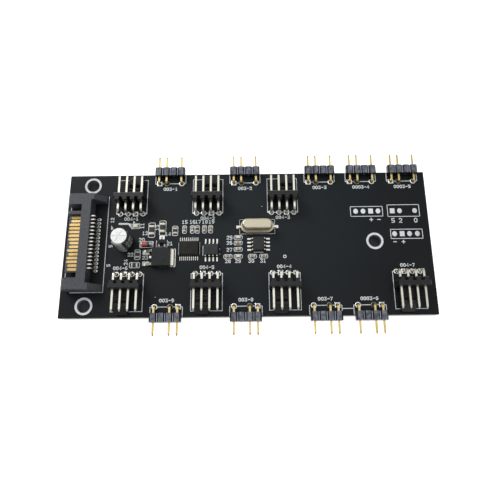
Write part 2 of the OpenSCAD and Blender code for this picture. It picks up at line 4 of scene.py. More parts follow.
import bmesh
import bpy
from mathutils import Matrix, Vector


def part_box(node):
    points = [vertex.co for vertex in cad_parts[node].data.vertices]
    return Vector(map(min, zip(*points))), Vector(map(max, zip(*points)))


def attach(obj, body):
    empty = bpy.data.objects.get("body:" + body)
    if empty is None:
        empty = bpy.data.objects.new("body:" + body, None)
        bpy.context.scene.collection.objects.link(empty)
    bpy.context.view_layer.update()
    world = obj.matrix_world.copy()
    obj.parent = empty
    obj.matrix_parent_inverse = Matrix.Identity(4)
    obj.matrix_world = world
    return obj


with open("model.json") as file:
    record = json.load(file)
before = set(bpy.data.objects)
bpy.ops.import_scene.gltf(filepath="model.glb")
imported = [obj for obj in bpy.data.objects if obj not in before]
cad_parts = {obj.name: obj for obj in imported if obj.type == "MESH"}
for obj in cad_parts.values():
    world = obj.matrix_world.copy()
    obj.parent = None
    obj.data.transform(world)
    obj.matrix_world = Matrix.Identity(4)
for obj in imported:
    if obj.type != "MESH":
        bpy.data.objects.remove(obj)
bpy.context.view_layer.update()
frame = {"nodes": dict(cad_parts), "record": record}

# Looks of a fan and lighting controller board. The solids come from the frame. This script gives
# them their finishes and adds what no solid carries: the print, the pads, the solder, the ring of
# a plated hole, and the webs in the grooves of the light strips.

scene = bpy.context.scene
MM = 0.001

# Sizes in millimetres, as the frame's headers and board have them
PITCH = 2.54
PIN = 0.64
BOARD_LO, BOARD_HI = (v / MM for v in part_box("circuit_board"))
TOP, UNDER = BOARD_HI.z, BOARD_LO.z
EDGE_X, EDGE_Y = BOARD_HI.x, BOARD_HI.y


# Nodes and materials

def linear(code):
    """A colour written as sRGB hex, in the linear values that the shaders take."""
    parts = [int(code[i:i + 2], 16) / 255 for i in (1, 3, 5)]
    return (*(p / 12.92 if p <= 0.04045 else ((p + 0.055) / 1.055) ** 2.4 for p in parts), 1.0)


def add_node(tree, kind, settings=None, inputs=None):
    """Adds a node. An input is a plain value, a hex colour, or the output socket that feeds it."""
    node = tree.nodes.new(kind)
    for name, value in (settings or {}).items():
        setattr(node, name, value)
    for name, value in (inputs or {}).items():
        if isinstance(value, bpy.types.NodeSocket):
            tree.links.new(value, node.inputs[name])
        else:
            is_colour = isinstance(value, str) and value.startswith("#")
            node.inputs[name].default_value = linear(value) if is_colour else value
    return node


# Sockets of a Mix node that mixes colours: its factor, its two colours, and its mixed output
FACTOR, FIRST, SECOND, MIXED = 0, 6, 7, 2


def empty_tree(owner):
    """The node tree of a material or a world, with nothing in it."""
    owner.use_nodes = True
    owner.node_tree.nodes.clear()
    return owner.node_tree


def start_material(name, **shader_values):
    """A material with its shader and the piece's own coordinates, ready for its pattern."""
    material = bpy.data.materials.new(name)
    tree = empty_tree(material)
    shader = add_node(tree, "ShaderNodeBsdfPrincipled")
    for label, value in shader_values.items():
        shader.inputs[label.replace("_", " ").title().replace("Ior", "IOR")].default_value = value
    add_node(tree, "ShaderNodeOutputMaterial", inputs={"Surface": shader.outputs["BSDF"]})
    coords = add_node(tree, "ShaderNodeTexCoord").outputs["Object"]
    return material, tree, shader, coords


def grained(name, colours, grain, gloss, relief, patch=12, **shader_values):
    """A surface whose colour drifts between two near shades over patches of that many grains, while
    its roughness and its relief follow the grain. Grain and relief are in millimetres."""
    material, tree, shader, coords = start_material(name, **shader_values)
    fine = add_node(tree, "ShaderNodeTexNoise",
                    inputs={"Vector": coords, "Scale": 1 / (grain * MM), "Detail": 3.0})
    broad = add_node(tree, "ShaderNodeTexNoise",
                     inputs={"Vector": coords, "Scale": 1 / (grain * patch * MM), "Detail": 4.0})
    drift = add_node(tree, "ShaderNodeMapRange",
                     inputs={"Value": broad.outputs["Fac"], "From Min": 0.35, "From Max": 0.65})
    rough = add_node(tree, "ShaderNodeMapRange",
                     inputs={"Value": fine.outputs["Fac"], "From Min": 0.3, "From Max": 0.7,
                             "To Min": gloss[0], "To Max": gloss[1]})
    bump = add_node(tree, "ShaderNodeBump", inputs={
        "Height": fine.outputs["Fac"], "Strength": 1.0, "Distance": relief * MM})
    shade = add_node(tree, "ShaderNodeMix", {"data_type": "RGBA"}, {
        FACTOR: drift.outputs["Result"], FIRST: colours[0], SECOND: colours[1]})
    tree.links.new(shade.outputs[MIXED], shader.inputs["Base Color"])
    tree.links.new(rough.outputs["Result"], shader.inputs["Roughness"])
    tree.links.new(bump.outputs["Normal"], shader.inputs["Normal"])
    return material


def repaint(material, pattern):
    """Lays a pattern over a finished colour. It gets the tree and the coordinates, and returns what
    to lay on in turn: pairs of a socket that says where, and a hex colour or a colour's socket."""
    tree = material.node_tree
    shader = next(n for n in tree.nodes if n.bl_idname == "ShaderNodeBsdfPrincipled")
    coords = next(n for n in tree.nodes if n.bl_idname == "ShaderNodeTexCoord")
    socket = shader.inputs["Base Color"]
    for where, colour in pattern(tree, coords):
        laid = add_node(tree, "ShaderNodeMix", {"data_type": "RGBA"}, {
            FACTOR: where, FIRST: socket.links[0].from_socket, SECOND: colour})
        tree.links.new(laid.outputs[MIXED], socket)
    return material


def within(tree, coords, axis, low, high, soft):
    """1 from low to high along an axis, in millimetres, with a soft edge, and 0 elsewhere."""
    place = add_node(tree, "ShaderNodeSeparateXYZ", inputs={0: coords.outputs["Object"]})
    value = place.outputs[axis]
    up = add_node(tree, "ShaderNodeMapRange", inputs={
        "Value": value, "From Min": (low - soft) * MM, "From Max": (low + soft) * MM})
    down = add_node(tree, "ShaderNodeMapRange", inputs={
        "Value": value, "From Min": (high + soft) * MM, "From Max": (high - soft) * MM})
    both = add_node(tree, "ShaderNodeMath", {"operation": "MULTIPLY"},
                    {0: up.outputs["Result"], 1: down.outputs["Result"]})
    return both.outputs[0]


def levelness(tree, coords):
    """1 on a level face and 0 on an upright wall."""
    facing = add_node(tree, "ShaderNodeSeparateXYZ", inputs={0: coords.outputs["Normal"]})
    level = add_node(tree, "ShaderNodeMath", {"operation": "ABSOLUTE"}, {0: facing.outputs["Z"]})
    return level.outputs[0]


def solder_mask():
    """Screened satin epoxy over glass-fibre board: near black with a fine orange peel, and a
    painted sheen that makes it greener and lighter over a broad patch. The sawn outer edges show
    the dark olive laminate in layers, and the drilled walls are as dark as the mask."""
    material = grained("satin_black_solder_mask", ("#0D1014", "#12171A"), 0.5, (0.42, 0.55), 0.002,
                       patch=40, specular_ior_level=0.2)
    sheen_middle, sheen_radius = (4.0, 12.0), 55.0
    layer, rim = 0.2, 0.1

    def laminate(tree, coords):
        # Painted sheen: the mask turns greener and lighter over a broad patch round a point near
        # the board's middle
        patch = add_node(tree, "ShaderNodeMapping", inputs={
            "Vector": coords.outputs["Object"], "Scale": (1 / (sheen_radius * MM),) * 3,
            "Location": (-sheen_middle[0] / sheen_radius, -sheen_middle[1] / sheen_radius, 0.0)})
        thin = add_node(tree, "ShaderNodeTexGradient", {"gradient_type": "SPHERICAL"},
                        {"Vector": patch.outputs["Vector"]})
        layers = add_node(tree, "ShaderNodeTexWave", {"bands_direction": "Z"}, {
            "Vector": coords.outputs["Object"], "Scale": 1 / (4 * layer * MM),
            "Distortion": 1.5, "Detail": 2.0})
        sawn = add_node(tree, "ShaderNodeMix", {"data_type": "RGBA"}, {
            FACTOR: layers.outputs["Fac"], FIRST: "#504C38", SECOND: "#6E6950"})
        place = add_node(tree, "ShaderNodeVectorMath", {"operation": "ABSOLUTE"},
                         {0: coords.outputs["Object"]})
        from_rim = add_node(tree, "ShaderNodeVectorMath", {"operation": "SUBTRACT"}, {
            0: place.outputs[0], 1: ((EDGE_X - rim) * MM, (EDGE_Y - rim) * MM, 1.0)})
        along = add_node(tree, "ShaderNodeSeparateXYZ", inputs={0: from_rim.outputs[0]})
        outer = add_node(tree, "ShaderNodeMath", {"operation": "MAXIMUM"},
                         {0: along.outputs["X"], 1: along.outputs["Y"]})
        at_rim = add_node(tree, "ShaderNodeMath", {"operation": "GREATER_THAN"},
                          {0: outer.outputs[0], 1: 0.0})
        side = add_node(tree, "ShaderNodeMath", {"operation": "LESS_THAN"},
                        {0: levelness(tree, coords), 1: 0.5})
        bare = add_node(tree, "ShaderNodeMath", {"operation": "MULTIPLY"},
                        {0: at_rim.outputs[0], 1: side.outputs[0]})
        return [(thin.outputs["Fac"], "#1B2326"), (bare.outputs[0], sawn.outputs[MIXED])]

    return repaint(material, laminate)


def strip_plastic():
    """Slate nylon of the light headers, moulded: satin with cloudy flow marks on its flat tops,
    and a painted shade on its walls and grooves, which are coloured near black."""
    material = grained("moulded_slate_nylon", ("#3A3E48", "#757A87"), 0.25, (0.24, 0.36), 0.002,
                       patch=4)
    flattest_wall = 0.9

    def painted_shade_walls(tree, coords):
        wall = add_node(tree, "ShaderNodeMath", {"operation": "LESS_THAN"},
                        {0: levelness(tree, coords), 1: flattest_wall})
        # Painted shade: the walls and grooves are coloured near black
        return [(wall.outputs[0], "#15171B")]

    return repaint(material, painted_shade_walls)


def chip_lead():
    """Tin plate on the leads of the moulded chips: bright on the soldered feet, with a painted
    shade, dark grey, on the shoulders above them."""
    material = grained("tin_plated_chip_lead", ("#D8D6CC", "#E8E6DC"), 0.6, (0.28, 0.36), 0.0005,
                       metallic=1.0)
    shoulder, over_all = 0.3, 9.0
    # Painted shade: the leads are coloured dark grey above their feet
    return repaint(material, lambda tree, coords: [
        (within(tree, coords, "Z", TOP + shoulder, TOP + over_all, soft=0.06), "#4E4C47")])


def contact_metal():
    """Copper alloy contacts: gold flash on the tongue, and tin plate behind the housing's bar."""
    material = grained("gold_flash_contact", ("#CDA865", "#DDBF85"), 0.3, (0.24, 0.34), 0.0005,
                       metallic=1.0)
    mouth_to_bar, past_tails = 6.2, 20.0
    bar_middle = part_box("power_plug_housing")[0].x / MM + mouth_to_bar
    return repaint(material, lambda tree, coords: [
        (within(tree, coords, "X", bar_middle, bar_middle + past_tails, soft=0.02), "#D5D3C8")])


def crystal_nickel():
    """Drawn steel with nickel plate: warm champagne, with light scuffs along its length."""
    material, tree, shader, coords = start_material("nickel_plated_steel", metallic=1.0)
    scuff_width, drawn_out, relief = 0.25, 0.15, 0.002
    stretch = add_node(tree, "ShaderNodeMapping", inputs={
        "Vector": coords, "Scale": (drawn_out, 1.0, 1.0)})
    scuffs = add_node(tree, "ShaderNodeTexNoise", inputs={
        "Vector": stretch.outputs["Vector"], "Scale": 1 / (scuff_width * MM), "Detail": 4.0})
    rough = add_node(tree, "ShaderNodeMapRange", inputs={
        "Value": scuffs.outputs["Fac"], "From Min": 0.3, "From Max": 0.7,
        "To Min": 0.26, "To Max": 0.4})
    bump = add_node(tree, "ShaderNodeBump", inputs={
        "Height": scuffs.outputs["Fac"], "Strength": 1.0, "Distance": relief * MM})
    shade = add_node(tree, "ShaderNodeMix", {"data_type": "RGBA"}, {
        FACTOR: scuffs.outputs["Fac"], FIRST: "#BDB59E", SECOND: "#D8D0BB"})
    tree.links.new(shade.outputs[MIXED], shader.inputs["Base Color"])
    tree.links.new(rough.outputs["Result"], shader.inputs["Roughness"])
    tree.links.new(bump.outputs["Normal"], shader.inputs["Normal"])
    return material


def sleeve_film():
    """Shrunk polyester film round the can: glossy black, with the grey stripe and faint dashes
    that mark the negative side, and two rows of plain noughts beside it."""
    material = grained("shrunk_black_film", ("#17181A", "#1F2022"), 0.6, (0.22, 0.32), 0.004)
    lo, hi = (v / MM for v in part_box("capacitor_sleeve"))
    half_stripe = math.radians(35)
    stripe_turn = math.radians(-14)
    dash_share, half_dash_step, half_dash = 0.45, 1.2, 0.16
    first_sign, sign_step, sign_count = math.radians(38), math.radians(24), 3
    row_bottom, row_step, row_height = 5.2, 2.6, 1.7
    sign_share, hollow = 0.72, 0.55

    def stripe(tree, coords):
        centred = add_node(tree, "ShaderNodeVectorMath", {"operation": "SUBTRACT"}, {
            0: coords.outputs["Object"],
            1: ((lo.x + hi.x) / 2 * MM, (lo.y + hi.y) / 2 * MM, 0.0)})
        place = add_node(tree, "ShaderNodeSeparateXYZ", inputs={0: centred.outputs[0]})
        found = {axis: place.outputs[axis] for axis in "XYZ"}
        # Each step is named, and reads plain values or what earlier steps found
        for name, operation, *operands in (
                ("front", "MULTIPLY", "Y", -1.0),
                ("angle", "ARCTAN2", "X", "front"),
                ("from middle", "SUBTRACT", "angle", stripe_turn),
                ("across", "ABSOLUTE", "from middle"),
                ("band", "LESS_THAN", "across", half_stripe),
                # The dashes of the negative side, in the stripe's middle
                ("middle", "LESS_THAN", "across", half_stripe * dash_share),
                ("rows", "PINGPONG", "Z", half_dash_step * MM),
                ("row", "LESS_THAN", "rows", half_dash * MM),
                ("dash", "MULTIPLY", "middle", "row"),
                # How far off the middle of a sign's place, from 0 to 0.5 along and across
                ("turned", "SUBTRACT", "angle", first_sign),
                ("turns", "DIVIDE", "turned", sign_step),
                ("raised", "SUBTRACT", "Z", row_bottom * MM),
                ("levels", "DIVIDE", "raised", row_step * MM),
                ("turn part", "FRACT", "turns"),
                ("turn off", "SUBTRACT", "turn part", 0.5),
                ("box x", "ABSOLUTE", "turn off"),
                ("level part", "FRACT", "levels"),
                ("level off", "SUBTRACT", "level part", 0.5),
                ("box z", "ABSOLUTE", "level off"),
                # A nought is a hollow box: "out" is 1 on its outline, and less inside it
                ("out x", "DIVIDE", "box x", sign_share / 2),
                ("out z", "DIVIDE", "box z", row_height / row_step / 2),
                ("out", "MAXIMUM", "out x", "out z"),
                ("inside", "LESS_THAN", "out", 1.0),
                ("outside", "GREATER_THAN", "out", hollow),
                ("ring", "MULTIPLY", "inside", "outside"),
                # Only that many noughts in a row, and two rows
                ("in turns", "COMPARE", "turns", sign_count / 2, sign_count / 2),
                ("in levels", "COMPARE", "levels", 1.0, 1.0),
                ("in rows", "MULTIPLY", "in turns", "in levels"),
                ("sign", "MULTIPLY", "ring", "in rows")):
            found[name] = add_node(tree, "ShaderNodeMath", {"operation": operation}, {
                i: found.get(value, value) for i, value in enumerate(operands)}).outputs[0]
        marked = add_node(tree, "ShaderNodeMix", {"data_type": "RGBA"}, {
            FACTOR: found["dash"], FIRST: "#A2A8A4", SECOND: "#7C827E"})
        return [(found["sign"], "#AEB4B1"), (found["band"], marked.outputs[MIXED])]

    return repaint(material, stripe)


def diode_glass():
    """Red glass over the diode's chip, with the printed band that marks one end."""
    material = grained("red_diode_glass", ("#C9402F", "#DB5340"), 0.5, (0.06, 0.12), 0.002,
                       coat_weight=1.0, coat_roughness=0.05)
    end_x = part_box("diode_glass")[1].x / MM
    band_width, past_end = 1.0, 0.2
    return repaint(material, lambda tree, coords: [
        (within(tree, coords, "X", end_x - band_width, end_x + past_end, soft=0.04), "#1B4C5E")])


FINISHES = {
    "board": solder_mask(),
    # Screened white epoxy ink: matt, a little uneven in its shade
    "print": grained("screened_white_ink", ("#D3D9DC", "#E6EAEC"), 0.12, (0.5, 0.65), 0.004),
    # Tin-lead solder that has flowed and set: bright, with a faint frost
    "solder": grained("bright_flowed_solder", ("#DCDEDE", "#F0F0EC"), 0.25, (0.22, 0.36), 0.002,
                      patch=5, metallic=1.0),
    # Glass-filled nylon, moulded: blue-grey and matt, with a fine spark-eroded grain
    "plug": grained("moulded_grey_nylon", ("#3A3D43", "#484B52"), 0.22, (0.46, 0.64), 0.014,
                    patch=3),
    "contact": contact_metal(),
    # Black polyester, moulded: satin
    "header": grained("moulded_black_polyester", ("#131416", "#1B1C1E"), 0.25, (0.38, 0.5), 0.003,
                      specular_ior_level=0.4),
    "strip": strip_plastic(),
    # Bright tin plate on square brass wire: cream-white, with drawing marks too fine to see
    "tin": grained("bright_tin_plate", ("#E4E1D2", "#EFEDE0"), 1.5, (0.26, 0.3), 0.0003,
                   patch=3, metallic=1.0),
    "lead": chip_lead(),
    # Thin gold flash on square brass wire: pale gold
    "gold": grained("pale_gold_flash", ("#D8BF7A", "#E6D49A"), 1.5, (0.26, 0.3), 0.0003,
                    patch=3, metallic=1.0),
    # Drawn aluminium, washed: white and bright, with a fine even grain
    "can": grained("drawn_aluminium", ("#CFD0CF", "#E0E1E0"), 0.3, (0.3, 0.42), 0.001,
                   patch=3, metallic=1.0),
    "sleeve": sleeve_film(),
    "crystal": crystal_nickel(),
    "diode": diode_glass(),
    # Pressed rubber under the can: dull black
    "rubber": grained("pressed_rubber", ("#232324", "#2C2C2D"), 0.2, (0.7, 0.85), 0.01),
    # Moulded epoxy of the chips, each batch its own black: olive, blue and plain
    "micro": grained("olive_black_epoxy", ("#141310", "#1E1C15"), 0.1, (0.5, 0.66), 0.004,
                     specular_ior_level=0.3),
    "driver": grained("blue_black_epoxy", ("#22262A", "#2E3237"), 0.12, (0.46, 0.6), 0.006,
                      specular_ior_level=0.35),
    "receiver": grained("charcoal_epoxy", ("#222226", "#2B2B2F"), 0.1, (0.46, 0.6), 0.004,
                        specular_ior_level=0.35),
    "regulator": grained("slate_black_epoxy", ("#191C1D", "#212425"), 0.12, (0.5, 0.64), 0.004,
                         specular_ior_level=0.3),
    "phenolic": grained("black_base_insulator", ("#232427", "#2C2D30"), 0.15, (0.5, 0.62), 0.005),
    # Solder that has crept round the ends of the small parts, solder under a film of flux, and the
    # parts' own ends: greyer and duller
    "creep": grained("dull_crept_solder", ("#A9ABA8", "#C3C4C0"), 0.2, (0.34, 0.5), 0.003,
                     patch=4, metallic=1.0),
    "dull": grained("flux_dulled_solder", ("#5E5F5C", "#8A8B87"), 0.25, (0.4, 0.55), 0.003,
                    patch=4, metallic=1.0),
    "ends": grained("matt_tin_ends", ("#B4AF9F", "#D4CEBE"), 0.15, (0.36, 0.5), 0.002,
                    patch=4, metallic=1.0),
    # Break-off webs between the places of a light strip, coloured pale as a painted glint in the
    # grooves
    "web": grained("nylon_web_painted_glint", ("#8C919D", "#A6ABB6"), 0.3, (0.3, 0.45), 0.002),
    # Tin levelled by hot air on the bare points: smooth and white
    "levelled": grained("levelled_tin_points", ("#E4E9EC", "#F0F3F4"), 1.2, (0.3, 0.36), 0.0005,
                        metallic=1.0),
    # Glazed thick film over white ceramic: black, glossier than the chips
    "resistor": grained("glazed_resistor_film", ("#1D1D1F", "#28282A"), 0.15, (0.22, 0.36), 0.004),
    # Fired ceramic of the capacitors, tan, and of the inductors, white
    "ceramic": grained("fired_tan_ceramic", ("#8D7F6C", "#AA9A84"), 0.1, (0.4, 0.55), 0.004),
    "ferrite": grained("fired_white_ceramic", ("#D9D6CF", "#E9E7E1"), 0.1, (0.4, 0.55), 0.004),
    # Clear resin of the status light over its phosphor: greenish white
    "lens": grained("clear_lamp_resin", ("#D3DDBF", "#E2EAD2"), 0.3, (0.12, 0.2), 0.002,
                    coat_weight=0.6, coat_roughness=0.08),
}

NODE_FINISH = {
    "circuit_board": "board", "power_plug_housing": "plug", "power_plug_contacts": "contact",
    "capacitor_can": "can", "capacitor_sleeve": "sleeve", "capacitor_bung": "rubber",
    "capacitor_leads": "tin", "crystal_can": "crystal", "crystal_base": "phenolic",
    "crystal_leads": "tin", "microcontroller_body": "micro", "driver_chip_body": "driver",
    "receiver_chip_body": "receiver", "regulator_body": "regulator", "regulator_lead_frame": "tin",
    "microcontroller_leads": "lead", "transistor_leads": "lead", "transistor_body": "regulator",
    "diode_glass": "diode", "status_light_base": "ferrite", "status_light_lens": "lens",
    "chip_resistor_bodies": "resistor", "chip_capacitor_bodies": "ceramic",
    "chip_inductor_bodies": "ferrite", "chip_end_caps": "ends",
}


def finish_of(node):
    """The finish of a node: its own, or the one that its kind of piece has."""
    if node in NODE_FINISH:
        return NODE_FINISH[node]
    for words, finish in (("fan_header housing", "header"), ("light_header housing", "strip"),
                          ("light_header pins", "gold")):
        if all(word in node for word in words.split()):
            return finish
    return "tin"


for node_name, node_object in frame["nodes"].items():
    node_object.data.materials.clear()
    node_object.data.materials.append(FINISHES[finish_of(node_name)])


# Places read from the frame

# Corners nearer to each other than this are one point
SAME_POINT = 0.0005


def solids(node):
    """Lowest and highest corner of each separate solid of a node, in millimetres."""
    shape = bmesh.new()
    shape.from_mesh(frame["nodes"][node].data)
    bmesh.ops.remove_doubles(shape, verts=shape.verts, dist=SAME_POINT * MM)
    boxes, seen = [], set()
    for first in shape.verts:
        if first in seen:
            continue
        seen.add(first)
        group = [first]
        for vert in group:
            for edge in vert.link_edges:
                other = edge.other_vert(vert)
                if other not in seen:
                    seen.add(other)
                    group.append(other)
        points = [v.co / MM for v in group]
        boxes.append(tuple(Vector(pick(p[i] for p in points) for i in range(3))
                           for pick in (min, max)))
    shape.free()
    return sorted(boxes, key=lambda b: (round(b[0].x, 2), round(b[0].y, 2)))


def header(kind, number):
    """Middle in X, pad row in Y and facing side of a header, and the X of each of its pins."""
    pins = solids(f"{kind}_header_{number}_pins")
    side = 1 if pins[0][0].y + pins[0][1].y > 0 else -1
    inner = min(abs(pins[0][0].y), abs(pins[0][1].y))
    xs = [(lo.x + hi.x) / 2 for lo, hi in pins]
    lo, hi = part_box(f"{kind}_header_{number}_housing" if kind == "light"
                    else f"fan_header_{number}_pins")
    return {"x": (lo.x + hi.x) / 2 / MM, "row": side * (inner + PIN / 2), "side": side, "pins": xs}


FANS = [header("fan", i) for i in range(1, 8)]
LIGHTS = [header("light", i) for i in range(1, 10)]


# Mesh tools

# Share of a pad's thickness that lies in the board, so that the pad shares no plane with it
SUNK = 0.4
# Thickness of the ink, and the step between the levels of neighbouring strokes
INK_T = 0.03
STROKE_STEP = 0.003


def mesh_from(name, verts, faces):
    """A closed mesh with its doubles merged and its faces turned outwards."""
    mesh = bpy.data.meshes.new(name)
    mesh.from_pydata(verts, [], faces)
    shape = bmesh.new()
    shape.from_mesh(mesh)
    bmesh.ops.remove_doubles(shape, verts=shape.verts, dist=1e-6)
    bmesh.ops.recalc_face_normals(shape, faces=shape.faces)
    shape.to_mesh(mesh)
    shape.free()
    return mesh


def turned(name, profile, sides):
    """A shape turned round Z from its (radius, height) points, closed flat at both ends."""
    verts = [(r * math.cos(math.tau * k / sides), r * math.sin(math.tau * k / sides), z)
             for r, z in profile for k in range(sides)]
    faces = [(i * sides + k, i * sides + (k + 1) % sides, (i + 1) * sides + (k + 1) % sides,
              (i + 1) * sides + k) for i in range(len(profile) - 1) for k in range(sides)]
    ends = [tuple(range(sides)), tuple((len(profile) - 1) * sides + k for k in range(sides))]
    return mesh_from(name, verts, faces + ends)


def ring_pad(name, outline, hole, sides=32):
    """A domed pad round a hole. Outline gives its radius at an angle, and all is in pad widths."""
    section = [(1, -SUNK), (1, 0.6), (0.88, 0.94), (0.5, 1.0), (0.12, 0.94), (0, 0.6), (0, -SUNK)]
    verts = []
    for share, z in section:
        for k in range(sides):
            angle = math.tau * k / sides
            r = hole + (outline(angle) - hole) * share
            verts.append((r * math.cos(angle), r * math.sin(angle), z))
    rows = len(section)
    faces = [(i * sides + k, i * sides + (k + 1) % sides, (i + 1) % rows * sides + (k + 1) % sides,
              (i + 1) % rows * sides + k) for i in range(rows) for k in range(sides)]
    return mesh_from(name, verts, faces)


def plate(name, outline, z0, z1):
    """A flat plate from its outline."""
    n = len(outline)
    verts = [(x, y, z) for z in (z0, z1) for x, y in outline]
    sides = [(k, (k + 1) % n, n + (k + 1) % n, n + k) for k in range(n)]
    return mesh_from(name, verts, sides + [tuple(range(n)), tuple(range(n, 2 * n))])


def line_mesh(name, strokes, level):
    """Edges along strokes, which are lists of (x, y) in millimetres. Neighbours in the list lie a
    few thousandths apart in height, so that no two crossing faces share a plane."""
    verts, edges = [], []
    for number, stroke in enumerate(strokes):
        first = len(verts)
        z = level + STROKE_STEP * (number % 4)
        verts += [(x * MM, y * MM, z * MM) for x, y in stroke]
        edges += [(first + k, first + k + 1) for k in range(len(stroke) - 1)]
    mesh = bpy.data.meshes.new(name)
    mesh.from_pydata(verts, edges, [])
    return mesh


def start_tree(name, sockets):
    """A geometry tree with its named inputs, and the node that holds them."""
    tree = bpy.data.node_groups.new(name, "GeometryNodeTree")
    tree.interface.new_socket("Geometry", in_out="INPUT", socket_type="NodeSocketGeometry")
    for label, kind, value in sockets:
        socket = tree.interface.new_socket(label, in_out="INPUT", socket_type=kind)
        if value is not None:
            socket.default_value = value
    tree.interface.new_socket("Geometry", in_out="OUTPUT", socket_type="NodeSocketGeometry")
    return tree, add_node(tree, "NodeGroupInput").outputs


def end_tree(tree, given, geometry):
    """Ends a tree in plain geometry with the finish that it was given."""
    real = add_node(tree, "GeometryNodeRealizeInstances", inputs={"Geometry": geometry})
    painted = add_node(tree, "GeometryNodeSetMaterial", inputs={
        "Geometry": real.outputs["Geometry"], "Material": given["Finish"]})
    add_node(tree, "NodeGroupOutput", inputs={"Geometry": painted.outputs["Geometry"]})
    return tree


def printed_lines_tree():
    """Lays a flat ribbon along every edge, with a round dot at each corner and end."""
    tree, given = start_tree("printed_lines", [
        ("Line width", "NodeSocketFloat", 0.2 * MM), ("Thickness", "NodeSocketFloat", INK_T * MM),
        ("Finish", "NodeSocketMaterial", None)])
    radius = add_node(tree, "ShaderNodeMath", {"operation": "MULTIPLY"},
                      {0: given["Line width"], 1: 0.5})
    curve = add_node(tree, "GeometryNodeMeshToCurve", inputs={"Mesh": given["Geometry"]})
    level = add_node(tree, "GeometryNodeSetCurveNormal", {"mode": "Z_UP"},
                     {"Curve": curve.outputs["Curve"]})
    section = add_node(tree, "GeometryNodeCurvePrimitiveQuadrilateral", inputs={
        "Width": given["Line width"], "Height": given["Thickness"]})
    ribbon = add_node(tree, "GeometryNodeCurveToMesh", inputs={
        "Curve": level.outputs["Curve"], "Profile Curve": section.outputs["Curve"],
        "Fill Caps": True})
    dot = add_node(tree, "GeometryNodeMeshCylinder", inputs={
        "Vertices": 10, "Radius": radius.outputs[0], "Depth": given["Thickness"]})
    lower = add_node(tree, "GeometryNodeTransform", inputs={
        "Geometry": dot.outputs["Mesh"], "Translation": (0.0, 0.0, -0.5 * STROKE_STEP * MM)})
    dots = add_node(tree, "GeometryNodeInstanceOnPoints", inputs={
        "Points": given["Geometry"], "Instance": lower.outputs["Geometry"]})
    both = add_node(tree, "GeometryNodeJoinGeometry")
    tree.links.new(ribbon.outputs["Mesh"], both.inputs["Geometry"])
    tree.links.new(dots.outputs["Instances"], both.inputs["Geometry"])
    return end_tree(tree, given, both.outputs["Geometry"])


def repeats_tree():
    """Puts one shape on every point, turned about Z and stretched as the point's own values say."""
    tree, given = start_tree("repeats", [
        ("Shape", "NodeSocketObject", None), ("Finish", "NodeSocketMaterial", None)])
    shape = add_node(tree, "GeometryNodeObjectInfo", inputs={"Object": given["Shape"]})
    turn, stretch = (add_node(tree, "GeometryNodeInputNamedAttribute",
                              {"data_type": "FLOAT_VECTOR"}, {"Name": name})
                     for name in ("turn", "stretch"))
    placed = add_node(tree, "GeometryNodeInstanceOnPoints", inputs={
        "Points": given["Geometry"], "Instance": shape.outputs["Geometry"],
        "Rotation": turn.outputs["Attribute"], "Scale": stretch.outputs["Attribute"]})
    return end_tree(tree, given, placed.outputs["Instances"])


LINES = printed_lines_tree()
REPEATS = repeats_tree()


def grown(name, seed_mesh, tree, finish, slot, smooth=False, **values):
    """Runs a tree on a mesh, and keeps the result as a plain piece that rides on the board."""
    seed = bpy.data.objects.new(name + "_seed", seed_mesh)
    scene.collection.objects.link(seed)
    modifier = seed.modifiers.new("grow", "NODES")
    modifier.node_group = tree
    values = {"Finish": FINISHES[finish], **{k.replace("_", " "): v for k, v in values.items()}}
    for socket in tree.interface.items_tree:
        if socket.in_out == "INPUT" and socket.name in values:
            modifier[socket.identifier] = values[socket.name]
    bpy.context.view_layer.update()
    result = seed.evaluated_get(bpy.context.evaluated_depsgraph_get())
    mesh = bpy.data.meshes.new_from_object(result)
    bpy.data.objects.remove(seed)
    mesh.name = name
    mesh.materials.clear()
    mesh.materials.append(FINISHES[finish])
    mesh.polygons.foreach_set("use_smooth", [smooth] * len(mesh.polygons))
    piece = bpy.data.objects.new(name, mesh)
    scene.collection.objects.link(piece)
    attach(piece, "root")
    return piece


def lines(name, strokes, width):
    """Prints strokes on the board's top face. Each line sinks a third of its thickness into it."""
    return grown(name, line_mesh(name, strokes, TOP + INK_T / 6), LINES, "print", "solder_mask",
                 Line_width=width * MM, Thickness=INK_T * MM)


def repeats(name, shape_mesh, places, finish, slot, smooth=False):
    """One piece of many equal shapes. A place is (x, y, z, turn in degrees, (stretch x, y, z))."""
    mesh = bpy.data.meshes.new(name + "_places")
    mesh.from_pydata([(x * MM, y * MM, z * MM) for x, y, z, _, _ in places], [], [])
    turn = mesh.attributes.new("turn", "FLOAT_VECTOR", "POINT")
    turn.data.foreach_set("vector", [v for p in places for v in (0.0, 0.0, math.radians(p[3]))])
    stretch = mesh.attributes.new("stretch", "FLOAT_VECTOR", "POINT")
    stretch.data.foreach_set("vector", [v * MM for p in places for v in p[4]])
    shape = bpy.data.objects.new(name + "_shape", shape_mesh)
    scene.collection.objects.link(shape)
    piece = grown(name, mesh, REPEATS, finish, slot, smooth, Shape=shape)
    bpy.data.objects.remove(shape)
    return piece


# Print

# Widths of the printed lines, by what they draw
WIDTH = {"mounting ring": 0.72, "header": 0.26, "label": 0.28, "part": 0.23, "thin": 0.12,
         "number": 0.27, "speck": 0.36, "hole ring": 0.28, "point box": 0.22, "point sign": 0.3,
         "plug": 0.22, "capacitor bar": 0.6}

